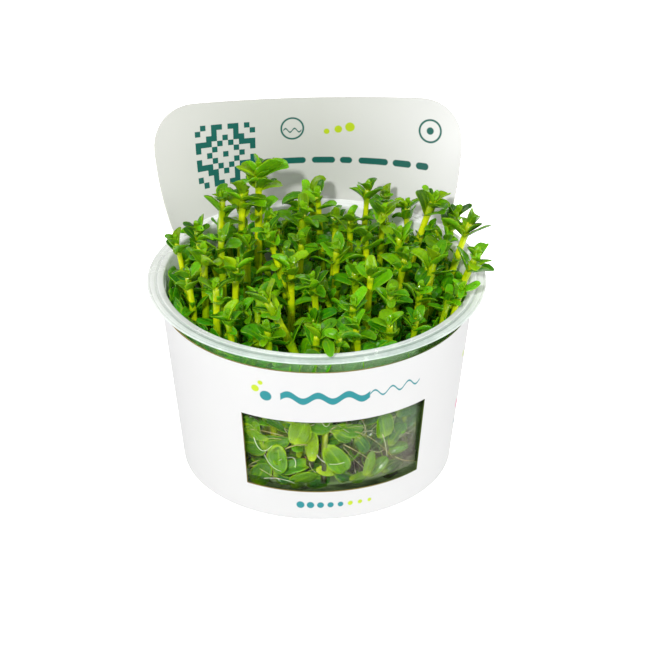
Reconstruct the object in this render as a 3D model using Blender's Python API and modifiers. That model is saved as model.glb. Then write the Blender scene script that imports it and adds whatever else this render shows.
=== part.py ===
# Lemon bacopa grown in culture gel in a clear lidless cup, with a card sleeve and its tall header.
# Metres, +Z up. The origin is where the cup's axis meets the surface that it stands on.
# The sleeve's window faces -Y and its header card stands at +Y.

import math
import random

import bmesh
import bpy
from mathutils import Vector
from mathutils.bvhtree import BVHTree

MM = 0.001

# Sleeve, all in mm: a card cone with a window, and a header that rises behind the plants
CARD = 0.45
SLEEVE_FOOT = 0.8
SLEEVE_TOP = 54.0
SLEEVE_FOOT_RADIUS = 40.6
SLEEVE_TOP_RADIUS = 46.1
WINDOW_BOTTOM = 10.9
WINDOW_TOP = 36.5
WINDOW_CENTRE_DEG = 175.4
WINDOW_HALF_DEG = 37.1
WINDOW_COLUMNS = 9
SIDE_COLUMNS = 9
HEADER_HALF = 48.0
HEADER_FOOT_FLARE = 2.5
HEADER_TOP = 92.5
HEADER_CORNER = 13.0
HEADER_KNEE = 57.9
HEADER_KNEE_RADIUS = 51.0
HEADER_STRAIGHT_FROM = 62.0
HEADER_LEAN = 0.07
HEADER_TOP_BEND = 0.004
HEADER_BEND_POWER = 1.6
HEADER_MIDDLE_COLUMNS = 8
HEADER_CORNER_COLUMNS = 3
HEADER_UPPER_ROWS = 3

# Cup, in mm: it stands inside the sleeve with a small gap
FIT_GAP = 0.35
CUP_WALL = 0.9
CUP_STEPS = 32
CUP_FLAT_INSET = 1.8
CUP_HEEL_INSET = 0.7
CUP_HEEL_HEIGHT = 0.5
CUP_FOOT_HEIGHT = 2.4
CUP_FLOOR_INSET = 1.3
CUP_FLOOR_CURVE = 3.0
WALL_END = 57.6
RIM_MOUTH = 45.1
RIM_STEP = 47.3
RIM_RADIUS = 50.0
RIM_TOP = 60.0
RIM_FACE = 59.6
RIM_UNDERSIDE = 59.0
RIM_BEVEL = 0.3
RIM_GROOVE = 0.1
RIM_ROOT_INSET = 1.0

# Gel, in mm
GEL_FLOOR = 1.3
GEL_FLOOR_INSET = 1.8
GEL_FLOOR_CURVE = 3.2
GEL_TOP = 11.8
GEL_MENISCUS = 12.4
GEL_MENISCUS_WIDTH = 1.6
GEL_GAP = 0.35

# Shoots, in mm: leaf pairs stand crosswise, closer together towards the tip
STEM_FOOT = 12.15
STEM_HALF_PER_LEAF = 0.122
STEM_BEND_ACROSS = 0.22
STEM_BEND_UP = 0.55
STEM_MEASURE_STEPS = 20
STEM_TEST_RINGS = 8
STEM_TIP_TAPER = 0.8
BUD_HEIGHT = 2.4
BUD_TAPER = 0.25
NODE_HALF = 0.6
INTERNODE_LEAF = 8.0
INTERNODES = (1.4, 4.2, 8.0, 11.0)
LEAF_RISE_DEG = (68.0, 54.0, 42.0, 32.0)
LEAF_RISE_SPREAD = (-22.0, 10.0)
LEAF_ROLL_DEG = 34.0
LEAF_SCALE = (0.78, 1.0, 1.0, 0.9)
LEAF_LENGTH_SPREAD = (0.85, 1.1)
LEAF_DROOP_DEG = (20.0, 65.0)
LEAF_HALF_WIDTH = 0.3
LEAF_HALF_THICK = 0.34
LEAF_CURVE_STEPS = 6
LEAF_STATIONS = ((0.52, 1.0), (1.0, 0.42))
LEAF_TEST_STATIONS = ((0.16, 0.55), (0.52, 1.0), (1.02, 0.45))
LEAF_CLEARANCE = 0.22
LEAF_TRIALS = (
    (0, 1.0), (22, 1.0), (-22, 1.0), (0, 0.75), (38, 0.8), (-38, 0.8), (0, 0.55), (30, 0.5), (-30, 0.5),
)
SEED = 11
CORNERS = ((1, 1), (-1, 1), (-1, -1), (1, -1))
SIDE_CORNERS = ({0, 3}, {0, 1}, {1, 2}, {2, 3})

# Each shoot: tip x, y and height, foot x and y, leaf pairs, length of its largest leaves
SHOOTS = (
    (-16, 23, 83, -17, 17, 4, 9.0),
    (-21, 19, 78, -23, 13, 4, 8.5),
    (-27, 18, 77, -29, 16, 3, 8.0),
    (-35, 12, 70, -31, 8, 3, 7.0),
    (-41, 8, 68, -35, 3, 3, 6.5),
    (-28, 2, 72, -27, -1, 4, 7.5),
    (-14, 5, 72, -4, 2, 3, 8.0),
    (2, 30, 71, 4, 25, 3, 7.5),
    (17, 28, 74, 14, 25, 3, 7.0),
    (23, 33, 68, 22, 26, 3, 6.5),
    (29, 27, 68, 27, 18, 3, 7.0),
    (36, 19, 74, 22, 13, 4, 8.5),
    (43, 19, 69, 31, 12, 4, 8.5),
    (46, 8, 72, 33, 4, 3, 8.0),
    (46, -8, 69, 32, -7, 4, 8.5),
    (41, -18, 64, 33, -15, 3, 7.0),
    (-3, 20, 71, -5, 16, 3, 8.5),
    (7, 23, 67, 5, 17, 3, 7.0),
    (11, 16, 70, 10, 12, 3, 7.5),
    (15, 9, 68, 16, 3, 3, 7.5),
    (21, 18, 71, 19, 20, 3, 7.5),
    (-24, -8, 68, -25, -12, 3, 8.0),
    (-33, -2, 70, -33, -7, 3, 8.0),
    (-30, -18, 67, -30, -20, 3, 8.0),
    (-16, -28, 68, 2, -33, 3, 9.5),
    (-2, -16, 67, 1, -19, 3, 8.0),
    (-8, -9, 68, -8, -10, 3, 8.5),
    (9, -25, 64, 8, -25, 3, 8.0),
    (9, -36, 63, 12, -33, 3, 8.0),
    (20, -23, 66, 17, -24, 3, 8.0),
    (29, -19, 65, 25, -18, 3, 7.5),
    (34, -7, 69, 28, -12, 4, 9.0),
    (26, -1, 66, 20, -4, 3, 8.0),
    (-16, -36, 63, -14, -33, 3, 8.0),
    (-38, -11, 67, -34, -12, 3, 7.5),
    (-2, -38, 62, -4, -35, 3, 8.5),
    (15, -13, 67, 12, -16, 3, 8.0),
    (37, -20, 62, 30, -21, 2, 7.0),
    (6, 3, 67, 5, 0, 3, 8.5),
    (-4, 8, 67, -6, 7, 3, 8.0),
    (25, 8, 68, 23, 5, 3, 8.5),
    (-20, 7, 67, -21, 5, 3, 8.5),
    (-27, -29, 63, -23, -27, 3, 8.0),
    (19, -33, 62, 18, -31, 3, 8.0),
    (27, -29, 61, 23, -28, 2, 7.0),
)


def clear_scene():
    for obj in list(bpy.data.objects):
        bpy.data.objects.remove(obj, do_unlink=True)


def make_material(name, colour, roughness, transmission=0.0, alpha=1.0):
    material = bpy.data.materials.new(name)
    material.use_nodes = True
    shader = material.node_tree.nodes["Principled BSDF"]
    shader.inputs["Base Color"].default_value = (*colour, 1.0)
    shader.inputs["Roughness"].default_value = roughness
    shader.inputs["Metallic"].default_value = 0.0
    shader.inputs["Transmission Weight"].default_value = transmission
    shader.inputs["Alpha"].default_value = alpha
    return material


def add_object(name, bm, material, collection):
    mesh = bpy.data.meshes.new(name)
    bm.to_mesh(mesh)
    bm.free()
    mesh.materials.append(material)
    obj = bpy.data.objects.new(name, mesh)
    collection.objects.link(obj)
    return obj


def turn_profile(name, profile, steps, material, collection):
    # a profile in mm, run up the inside and down the outside, spun round the axis
    bm = bmesh.new()
    points = [bm.verts.new((r * MM, 0.0, z * MM)) for r, z in profile]
    for a, b in zip(points, points[1:]):
        bm.edges.new((a, b))
    obj = add_object(name, bm, material, collection)
    screw = obj.modifiers.new("turn", "SCREW")
    screw.steps = steps
    screw.render_steps = steps
    screw.use_merge_vertices = True
    screw.merge_threshold = 0.00001
    screw.use_smooth_shade = False
    return obj


def sleeve_radius(z):
    share = (z - SLEEVE_FOOT) / (SLEEVE_TOP - SLEEVE_FOOT)
    return SLEEVE_FOOT_RADIUS + share * (SLEEVE_TOP_RADIUS - SLEEVE_FOOT_RADIUS)


def cup_outer_radius(z):
    return sleeve_radius(z) - CARD - FIT_GAP


def cup_inner_radius(z):
    return cup_outer_radius(z) - CUP_WALL


def make_cup(material, collection):
    profile = (
        (0.0, CUP_WALL),
        (cup_inner_radius(0) - CUP_FLOOR_INSET, CUP_WALL),
        (cup_inner_radius(CUP_FLOOR_CURVE), CUP_FLOOR_CURVE),
        (cup_inner_radius(WALL_END), WALL_END),
        (RIM_MOUTH, RIM_TOP),
        (RIM_STEP - RIM_BEVEL, RIM_TOP),
        (RIM_STEP, RIM_FACE - RIM_GROOVE),
        (RIM_RADIUS - RIM_BEVEL, RIM_FACE),
        (RIM_RADIUS, RIM_FACE - 2.0 * RIM_GROOVE),
        (RIM_RADIUS, RIM_UNDERSIDE),
        (RIM_STEP - RIM_ROOT_INSET, RIM_UNDERSIDE),
        (cup_outer_radius(WALL_END), WALL_END),
        (cup_outer_radius(CUP_FOOT_HEIGHT), CUP_FOOT_HEIGHT),
        (cup_outer_radius(0) - CUP_HEEL_INSET, CUP_HEEL_HEIGHT),
        (cup_outer_radius(0) - CUP_FLAT_INSET, 0.0),
        (0.0, 0.0),
    )
    return turn_profile("cup", profile, CUP_STEPS, material, collection)


def make_gel(material, collection):
    profile = (
        (0.0, GEL_FLOOR),
        (cup_inner_radius(0) - GEL_FLOOR_INSET, GEL_FLOOR),
        (cup_inner_radius(GEL_FLOOR_CURVE) - GEL_GAP, GEL_FLOOR_CURVE),
        (cup_inner_radius(GEL_MENISCUS) - GEL_GAP, GEL_MENISCUS),
        (cup_inner_radius(GEL_MENISCUS) - GEL_MENISCUS_WIDTH, GEL_TOP),
        (0.0, GEL_TOP),
    )
    # the outside runs down, so the list is taken from the top
    return turn_profile("nutrient_gel", profile[::-1], CUP_STEPS, material, collection)


def header_apex(z):
    # how far back the card's middle stands at this height
    if z < HEADER_KNEE:
        share = (z - SLEEVE_TOP) / (HEADER_KNEE - SLEEVE_TOP)
        return SLEEVE_TOP_RADIUS + share * (HEADER_KNEE_RADIUS - SLEEVE_TOP_RADIUS)
    return HEADER_KNEE_RADIUS + HEADER_LEAN * (z - HEADER_KNEE)


def header_bend(z):
    # curvature in plan, the sleeve's own at the foot and nearly flat at the top
    share = 1.0 - (z - SLEEVE_TOP) / (HEADER_TOP - SLEEVE_TOP)
    foot_bend = 1.0 / SLEEVE_TOP_RADIUS
    return HEADER_TOP_BEND + (foot_bend - HEADER_TOP_BEND) * max(share, 0.0) ** HEADER_BEND_POWER


def header_point(along, z):
    radius = 1.0 / header_bend(z)
    turn = along / radius
    return Vector((radius * math.sin(turn), header_apex(z) - radius + radius * math.cos(turn), z)) * MM


def header_flare(z):
    # the card widens in a small curve where it leaves the sleeve's top edge
    share = max(0.0, 1.0 - (z - SLEEVE_TOP) / (HEADER_KNEE - SLEEVE_TOP))
    return HEADER_FOOT_FLARE * share * share


def header_columns():
    # places along the header, 0 at its middle, with the corner arc's own columns at both ends
    flat = HEADER_HALF - HEADER_CORNER
    middle = [flat * (2.0 * i / HEADER_MIDDLE_COLUMNS - 1.0) for i in range(HEADER_MIDDLE_COLUMNS + 1)]
    steps = range(1, HEADER_CORNER_COLUMNS + 1)
    end = [flat + HEADER_CORNER * math.sin(math.pi / 2 * i / HEADER_CORNER_COLUMNS) for i in steps]
    return [-place for place in reversed(end)] + middle + end


def header_edge(along):
    # the top edge's height, rounded down at the corners
    past = abs(along) - (HEADER_HALF - HEADER_CORNER)
    if past <= 0.0:
        return HEADER_TOP
    return HEADER_TOP - HEADER_CORNER + math.sqrt(max(HEADER_CORNER ** 2 - past ** 2, 0.0))


def header_heights(along):
    rise = header_edge(along) - HEADER_STRAIGHT_FROM
    low = [SLEEVE_TOP, 0.5 * (SLEEVE_TOP + HEADER_KNEE), HEADER_KNEE, HEADER_STRAIGHT_FROM]
    steps = range(1, HEADER_UPPER_ROWS + 1)
    return low + [HEADER_STRAIGHT_FROM + rise * i / HEADER_UPPER_ROWS for i in steps]


def spread(start, end, count):
    return [start + (end - start) * i / count for i in range(1, count + 1)]


def make_sleeve(material, collection):
    places = header_columns()
    foot_half = HEADER_HALF + HEADER_FOOT_FLARE
    header_half_deg = math.degrees(foot_half / SLEEVE_TOP_RADIUS)
    header_degs = [place / HEADER_HALF * header_half_deg for place in places]
    window_start = WINDOW_CENTRE_DEG - WINDOW_HALF_DEG
    window_end = WINDOW_CENTRE_DEG + WINDOW_HALF_DEG
    degs = header_degs + spread(header_half_deg, window_start, SIDE_COLUMNS)
    degs += spread(window_start, window_end, WINDOW_COLUMNS)
    degs += spread(window_end, 360.0 - header_half_deg, SIDE_COLUMNS)
    wrap_heights = [SLEEVE_FOOT, WINDOW_BOTTOM, WINDOW_TOP, SLEEVE_TOP]
    header_rows = len(header_heights(0.0)) - 1
    columns = len(degs) - 1
    rows = len(wrap_heights) - 1 + header_rows
    bm = bmesh.new()
    bmesh.ops.create_grid(bm, x_segments=columns, y_segments=rows, size=1.0)
    place_of = {}
    for vert in bm.verts:
        column = round((vert.co.x + 1.0) / 2.0 * columns)
        row = round((vert.co.y + 1.0) / 2.0 * rows)
        place_of[vert] = (column, row)
    window_first = len(header_degs) - 1 + SIDE_COLUMNS
    dropped = []
    for face in bm.faces:
        column = min(place_of[vert][0] for vert in face.verts)
        row = min(place_of[vert][1] for vert in face.verts)
        in_window = row == 1 and window_first <= column < window_first + WINDOW_COLUMNS
        beside_header = row >= len(wrap_heights) - 1 and column >= len(header_degs) - 1
        if in_window or beside_header:
            dropped.append(face)
    bmesh.ops.delete(bm, geom=dropped, context="FACES")
    for vert in bm.verts:
        column, row = place_of[vert]
        if row < len(wrap_heights):
            z = wrap_heights[row]
            turn = math.radians(degs[column])
            vert.co = Vector((math.sin(turn), math.cos(turn), 0.0)) * sleeve_radius(z) * MM
            vert.co.z = z * MM
        else:
            along = places[column]
            z = header_heights(along)[row - len(wrap_heights) + 1]
            vert.co = header_point(along * (1.0 + header_flare(z) / HEADER_HALF), z)
    bmesh.ops.remove_doubles(bm, verts=bm.verts[:], dist=0.00001)
    bmesh.ops.recalc_face_normals(bm, faces=bm.faces[:])
    front = min(bm.faces, key=lambda face: face.calc_center_median().y)
    if front.normal.y > 0.0:
        bmesh.ops.reverse_faces(bm, faces=bm.faces[:])
    obj = add_object("sleeve", bm, material, collection)
    card = obj.modifiers.new("card", "SOLIDIFY")
    card.thickness = CARD * MM
    card.offset = -1.0
    card.use_even_offset = True
    return obj


class Stem:
    # a stem's curved middle line, from its foot on the gel to its tip, in mm
    def __init__(self, spec):
        tip_x, tip_y, tip_z, foot_x, foot_y, pairs, leaf = spec
        self.foot = Vector((foot_x, foot_y, STEM_FOOT))
        self.tip = Vector((tip_x, tip_y, tip_z))
        lean = self.tip - self.foot
        bend = Vector((STEM_BEND_ACROSS * lean.x, STEM_BEND_ACROSS * lean.y, STEM_BEND_UP * lean.z))
        self.bend = self.foot + bend
        self.pairs = pairs
        self.leaf = leaf
        self.half = STEM_HALF_PER_LEAF * leaf
        self.length = self.measure()

    def at(self, share):
        back = 1.0 - share
        return back * back * self.foot + 2.0 * back * share * self.bend + share * share * self.tip

    def heading(self, share):
        step = (1.0 - share) * (self.bend - self.foot) + share * (self.tip - self.bend)
        return step.normalized()

    def measure(self):
        points = [self.at(i / STEM_MEASURE_STEPS) for i in range(STEM_MEASURE_STEPS + 1)]
        return sum((b - a).length for a, b in zip(points, points[1:]))

    def frame(self, share, turn):
        up = self.heading(share)
        flat = Vector((math.cos(turn), math.sin(turn), 0.0))
        out = (flat - up * flat.dot(up)).normalized()
        return out, up.cross(out), up

    def ring(self, share, turn, half):
        out, side, up = self.frame(share, turn)
        centre = self.at(share)
        return [centre + half * (a * out + b * side) for a, b in CORNERS]

    def node_shares(self):
        # where the leaf pairs sit, from the tip down
        shares = []
        down = 0.0
        for gap in INTERNODES[:self.pairs]:
            down += gap * self.leaf / INTERNODE_LEAF
            shares.append(1.0 - down / self.length)
        return shares


class Leaf:
    # one leaf: a tongue that rises from the stem, rolls to one side and bows over, in mm
    def __init__(self, stem, share, turn, yaw_deg, length, rise_deg, droop_deg, roll_deg):
        out, side, up = stem.frame(share, turn)
        yaw = math.radians(yaw_deg)
        self.side = (side * math.cos(yaw) - out * math.sin(yaw)).normalized()
        self.out = (out * math.cos(yaw) + side * math.sin(yaw)).normalized()
        self.up = up
        self.root = stem.at(share) + out * stem.half
        self.length = length
        self.rise = math.radians(rise_deg)
        self.droop = math.radians(droop_deg)
        self.roll = math.radians(roll_deg)

    def centre(self, share):
        step = share / LEAF_CURVE_STEPS
        point = self.root.copy()
        for i in range(LEAF_CURVE_STEPS):
            angle = self.angle(step * (i + 0.5))
            point += (self.out * math.cos(angle) + self.up * math.sin(angle)) * self.length * step
        return point

    def angle(self, share):
        return self.rise - self.droop * share

    def corner(self, station, width, across, above, margin=0.0):
        angle = self.angle(station)
        upright = self.up * math.cos(angle) - self.out * math.sin(angle)
        side = self.side * math.cos(self.roll) + upright * math.sin(self.roll)
        normal = upright * math.cos(self.roll) - self.side * math.sin(self.roll)
        half = self.length * LEAF_HALF_WIDTH * width + margin
        return self.centre(station) + across * half * side + above * (LEAF_HALF_THICK + margin) * normal

    def test_tree(self):
        # a slightly thicker closed leaf that starts clear of its own stem
        points = []
        for station, width in LEAF_TEST_STATIONS:
            points += [self.corner(station, width, a, b, LEAF_CLEARANCE) for a, b in CORNERS]
        return block_tree(points)


def block_tree(points):
    # a search tree over a tube of four-cornered rings
    rings = len(points) // 4
    faces = [(0, 1, 2, 3), tuple(range(4 * rings - 4, 4 * rings))]
    for ring in range(rings - 1):
        for i in range(4):
            j = (i + 1) % 4
            faces.append((4 * ring + i, 4 * ring + j, 4 * ring + 4 + j, 4 * ring + 4 + i))
    centre = sum(points, Vector()) / len(points)
    reach = max((point - centre).length for point in points)
    return BVHTree.FromPolygons(points, faces), centre, reach


def touches(block, others):
    tree, centre, reach = block
    for other, other_centre, other_reach in others:
        if (centre - other_centre).length < reach + other_reach and tree.overlap(other):
            return True
    return False


def stem_tree(stem, turn):
    points = []
    for i in range(STEM_TEST_RINGS + 1):
        points += stem.ring(i / STEM_TEST_RINGS, turn, stem.half + LEAF_CLEARANCE)
    return block_tree(points)


def holder_tree(obj):
    # a search tree of a finished neighbour, in mm
    evaluated = obj.evaluated_get(bpy.context.evaluated_depsgraph_get())
    mesh = evaluated.to_mesh()
    points = [vert.co / MM for vert in mesh.vertices]
    tree = BVHTree.FromPolygons(points, [tuple(face.vertices) for face in mesh.polygons])
    evaluated.to_mesh_clear()
    return tree, Vector((0.0, 0.0, 0.0)), 1000.0


def plan_leaves(stems, turns, holders):
    # gives each stem its leaves, turned or shortened where a neighbour is in the way
    draw = random.Random(SEED)
    stem_blocks = [stem_tree(stem, turn) for stem, turn in zip(stems, turns)]
    placed = []
    plans = [[] for stem in stems]
    for index, (stem, turn) in enumerate(zip(stems, turns)):
        blocks = holders + stem_blocks[:index] + stem_blocks[index + 1:]
        for pair, share in enumerate(stem.node_shares()):
            for facing in (0, 2):
                direction = facing + pair % 2
                length = stem.leaf * LEAF_SCALE[pair] * draw.uniform(*LEAF_LENGTH_SPREAD)
                rise = LEAF_RISE_DEG[pair] + draw.uniform(*LEAF_RISE_SPREAD)
                droop = draw.uniform(*LEAF_DROOP_DEG)
                roll = draw.uniform(-LEAF_ROLL_DEG, LEAF_ROLL_DEG) * math.cos(math.radians(rise))
                facing_turn = turn + direction * math.pi / 2
                for yaw, scale in LEAF_TRIALS:
                    leaf = Leaf(stem, share, facing_turn, yaw, length * scale, rise, droop, roll)
                    block = leaf.test_tree()
                    if not touches(block, blocks) and not touches(block, placed):
                        placed.append(block)
                        plans[index].append((pair, direction, leaf))
                        break
    return plans


def draw_out(bm, face, corner, places):
    # extrudes a face and puts each of its corners at its own new place
    face = bmesh.ops.extrude_discrete_faces(bm, faces=[face])["faces"][0]
    for vert in face.verts:
        vert.co = places[vert[corner]] * MM
    return face


def grow_shoot(name, stem, turn, plan, material, collection):
    # the stem is a square rod drawn up ring by ring, and each leaf is drawn out of its side
    shares = stem.node_shares()
    half_node = NODE_HALF / stem.length
    levels = [0.5 * shares[-1]]
    for share in reversed(shares):
        levels += [share - half_node, share + half_node]
    bm = bmesh.new()
    corner = bm.verts.layers.int.new("corner")
    bmesh.ops.create_cube(bm, size=1.0)
    for vert in bm.verts:
        vert[corner] = CORNERS.index((1 if vert.co.x > 0 else -1, 1 if vert.co.y > 0 else -1))
        share = levels[0] if vert.co.z > 0 else 0.0
        vert.co = stem.ring(share, turn, stem.half)[vert[corner]] * MM
    top = max(bm.faces, key=lambda face: face.calc_center_median().z)
    sides = []
    for share in levels[1:]:
        top = draw_out(bm, top, corner, stem.ring(share, turn, stem.half))
        sides.append({face for edge in top.edges for face in edge.link_faces if face is not top})
    top = draw_out(bm, top, corner, stem.ring(1.0, turn, STEM_TIP_TAPER * stem.half))
    bud = stem.heading(1.0) * BUD_HEIGHT
    draw_out(bm, top, corner, [point + bud for point in stem.ring(1.0, turn, BUD_TAPER * stem.half)])
    for pair, direction, leaf in plan:
        node_sides = sides[2 * (stem.pairs - 1 - pair) + 1]
        wanted = SIDE_CORNERS[direction]
        root = next(face for face in node_sides if {vert[corner] for vert in face.verts} == wanted)
        node_sides.remove(root)
        draw_leaf(bm, root, corner, leaf)
    return add_object(name, bm, material, collection)


def draw_leaf(bm, root, corner, leaf):
    base = root.calc_center_median()
    tip = bmesh.ops.extrude_discrete_faces(bm, faces=[root])["faces"][0]
    for vert in tip.verts:
        offset = vert.co - base
        across = 1 if offset.dot(leaf.side) > 0 else -1
        above = 1 if offset.dot(leaf.up) > 0 else -1
        vert[corner] = CORNERS.index((across, above))
    for number, (station, width) in enumerate(LEAF_STATIONS):
        places = [leaf.corner(station, width, across, above) for across, above in CORNERS]
        if number == 0:
            for vert in tip.verts:
                vert.co = places[vert[corner]] * MM
        else:
            tip = draw_out(bm, tip, corner, places)


def main():
    clear_scene()
    collection = bpy.data.collections.new("bacopa_cup")
    bpy.context.scene.collection.children.link(collection)
    plastic = make_material("clear plastic", (0.86, 0.9, 0.88), 0.22, 0.8, 0.4)
    card = make_material("coated card", (0.92, 0.92, 0.91), 0.45)
    gel = make_material("culture gel", (0.62, 0.64, 0.42), 0.12, 0.7, 0.6)
    green = make_material("bacopa green", (0.09, 0.32, 0.02), 0.35)
    cup = make_cup(plastic, collection)
    sleeve = make_sleeve(card, collection)
    make_gel(gel, collection)
    bpy.context.view_layer.update()
    stems = [Stem(spec) for spec in SHOOTS]
    draw = random.Random(SEED)
    turns = [draw.uniform(0.0, math.pi / 2) for stem in stems]
    plans = plan_leaves(stems, turns, [holder_tree(cup), holder_tree(sleeve)])
    for number, (stem, turn, plan) in enumerate(zip(stems, turns, plans), start=1):
        grow_shoot(f"shoot_{number:02d}", stem, turn, plan, green, collection)


main()
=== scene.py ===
# Lemon bacopa in a clear culture cup: finishes, fine meshes, lights and camera round the solid frame
import itertools
import math
import random

import bmesh
import bpy
from mathutils import Matrix, Vector
from mathutils.bvhtree import BVHTree


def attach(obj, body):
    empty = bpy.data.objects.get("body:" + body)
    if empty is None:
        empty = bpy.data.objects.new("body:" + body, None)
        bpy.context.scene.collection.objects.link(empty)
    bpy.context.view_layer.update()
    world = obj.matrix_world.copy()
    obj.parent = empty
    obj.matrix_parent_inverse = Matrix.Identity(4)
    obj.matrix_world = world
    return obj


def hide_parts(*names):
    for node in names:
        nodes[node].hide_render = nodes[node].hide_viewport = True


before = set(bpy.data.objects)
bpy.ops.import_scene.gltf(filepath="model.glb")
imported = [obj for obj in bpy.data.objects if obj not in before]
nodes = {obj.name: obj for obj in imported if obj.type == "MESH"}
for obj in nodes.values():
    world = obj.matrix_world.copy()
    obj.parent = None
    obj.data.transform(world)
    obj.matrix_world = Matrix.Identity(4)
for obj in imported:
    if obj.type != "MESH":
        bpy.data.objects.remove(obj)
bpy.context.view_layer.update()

mm = 0.001
print("frame loaded:", len(nodes), "solids")

camera = {
    "azimuthDeg": -3.3,
    "elevationDeg": 30.15,
    "distance": 0.8,
    "focalPixels": 2686.0,
    "framePixels": 645.0,
    "sensor": 36.0,
    "lookAt": (0.0017, -0.0001, 0.0438),
}

light = {
    "world": 0.47,
    "worldInGloss": 0.17,
    "target": (0.0, 0.0, 0.05),
    # azimuth from the front, elevation, distance in metres, watts, size in metres
    "key": (-15.0, 36.0, 1.1, 7.5, 0.06),
    "leftFill": (-85.0, 25.0, 1.2, 3.6, 0.8),
    "rightFill": (80.0, 25.0, 1.2, 6.4, 0.8),
    "floorSize": 4.0,
    "floorGlow": 0.12,
    "floorSeen": 1.0,
}

# The card's shape, in mm, as in the solid
sleeve = {
    "card": 0.45,
    "foot": 0.8,
    "top": 54.0,
    "footRadius": 40.6,
    "topRadius": 46.1,
    "windowBottom": 10.9,
    "windowTop": 36.5,
    "windowCentreDeg": 175.4,
    "windowHalfDeg": 37.1,
    "windowColumns": 36,
    "sideColumns": 36,
    "wrapRows": (4, 8, 6),
    "headerHalf": 48.0,
    "headerFootFlare": 2.5,
    "headerTop": 92.5,
    "headerCorner": 13.0,
    "knee": 57.9,
    "kneeRadius": 51.0,
    "kneeRows": 6,
    "straightFrom": 62.0,
    "lean": 0.07,
    "topBend": 0.004,
    "bendPower": 1.6,
    "headerColumns": 30,
    "cornerColumns": 10,
    "upperRows": 16,
    "uvRadius": 43.5,
    "uvScale": 100.0,
}

# The wall is milky above and behind the haze places, and the ring clouds over in steps towards the back
cup = {
    "fitGap": 0.35,
    "wall": 0.9,
    "steps": 144,
    "flatInset": 1.8,
    "footHeight": 2.4,
    "floorInset": 1.3,
    "floorCurve": 3.0,
    "wallEnd": 57.6,
    "rimFrom": 58.0,
    "rimMouth": 45.1,
    "rimRoot": 46.3,
    "rimStep": 47.3,
    "rimRadius": 50.0,
    "rimTop": 60.0,
    "rimFace": 59.6,
    "rimUnderside": 59.2,
    "grooveDepth": 0.35,
    "hazeFrom": 30.0,
    "hazeBehind": -3.0,
    "ringClear": (0.32, 0.3, 0.27, 0.22),
    "ringBorders": (-36.0, -24.0, -8.0, 26.0),
}

gel = {
    "top": 11.8,
    "meniscus": 12.4,
    "meniscusWidth": 2.6,
    "gap": 0.35,
    "floor": 1.3,
    "floorInset": 1.8,
    "floorCurve": 3.2,
    "steps": 96,
}


def linear(hexColour):
    # an ordinary #rrggbb colour as the linear values that shaders take
    parts = [int(hexColour[i:i + 2], 16) / 255.0 for i in (1, 3, 5)]
    return tuple(c / 12.92 if c <= 0.04045 else ((c + 0.055) / 1.055) ** 2.4 for c in parts) + (1.0,)


# Shader helpers
def newMaterial(name):
    material = bpy.data.materials.new(name)
    material.use_nodes = True
    tree = material.node_tree
    return material, tree, tree.nodes["Principled BSDF"]


def feed(tree, socket, value):
    # a value is a number, a colour or the socket of another node
    if isinstance(value, bpy.types.NodeSocket):
        tree.links.new(value, socket)
    else:
        socket.default_value = value


def fill(tree, node, values):
    for name, value in values.items():
        feed(tree, node.inputs[name], value)


def calc(tree, operation, *values, clamp=False):
    node = tree.nodes.new("ShaderNodeMath")
    node.operation = operation
    node.use_clamp = clamp
    for socket, value in zip(node.inputs, values):
        feed(tree, socket, value)
    return node.outputs[0]


def plus(tree, first, second):
    return calc(tree, "ADD", first, second)


def minus(tree, first, second):
    return calc(tree, "SUBTRACT", first, second)


def times(tree, first, second):
    return calc(tree, "MULTIPLY", first, second)


def larger(tree, first, second):
    return calc(tree, "MAXIMUM", first, second)


def unsigned(tree, value):
    return calc(tree, "ABSOLUTE", value)


def blendColour(tree, share, first, second):
    node = tree.nodes.new("ShaderNodeMix")
    node.data_type = "RGBA"
    feed(tree, node.inputs[0], share)
    feed(tree, node.inputs[6], first)
    feed(tree, node.inputs[7], second)
    return node.outputs[2]


def noise(tree, vector, scale, detail=3.0, rough=0.5):
    node = tree.nodes.new("ShaderNodeTexNoise")
    fill(tree, node, {"Vector": vector, "Scale": scale, "Detail": detail, "Roughness": rough})
    return node.outputs["Fac"]


def remap(tree, value, low, high, newLow=0.0, newHigh=1.0):
    node = tree.nodes.new("ShaderNodeMapRange")
    for socket, number in zip(list(node.inputs)[:5], (value, low, high, newLow, newHigh)):
        feed(tree, socket, number)
    return node.outputs[0]


def objectPlace(tree):
    return tree.nodes.new("ShaderNodeTexCoord").outputs["Object"]


def splitPlace(tree, place):
    node = tree.nodes.new("ShaderNodeSeparateXYZ")
    feed(tree, node.inputs[0], place)
    return node.outputs


def uvPlace(tree, layer):
    uv = tree.nodes.new("ShaderNodeUVMap")
    uv.uv_map = layer
    return splitPlace(tree, uv.outputs["UV"])[:2]


def plantTint(tree):
    # the four values of the tint that every leaf, stem and root carries
    tint = tree.nodes.new("ShaderNodeAttribute")
    tint.attribute_name = "tint"
    split = tree.nodes.new("ShaderNodeSeparateColor")
    feed(tree, split.inputs[0], tint.outputs["Color"])
    return (*split.outputs, tint.outputs["Alpha"])


def bump(tree, height, strength, distance, shader):
    node = tree.nodes.new("ShaderNodeBump")
    fill(tree, node, {"Height": height, "Strength": strength, "Distance": distance})
    feed(tree, shader.inputs["Normal"], node.outputs["Normal"])


def seenBy(tree, rayKind):
    return tree.nodes.new("ShaderNodeLightPath").outputs[rayKind]


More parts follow.
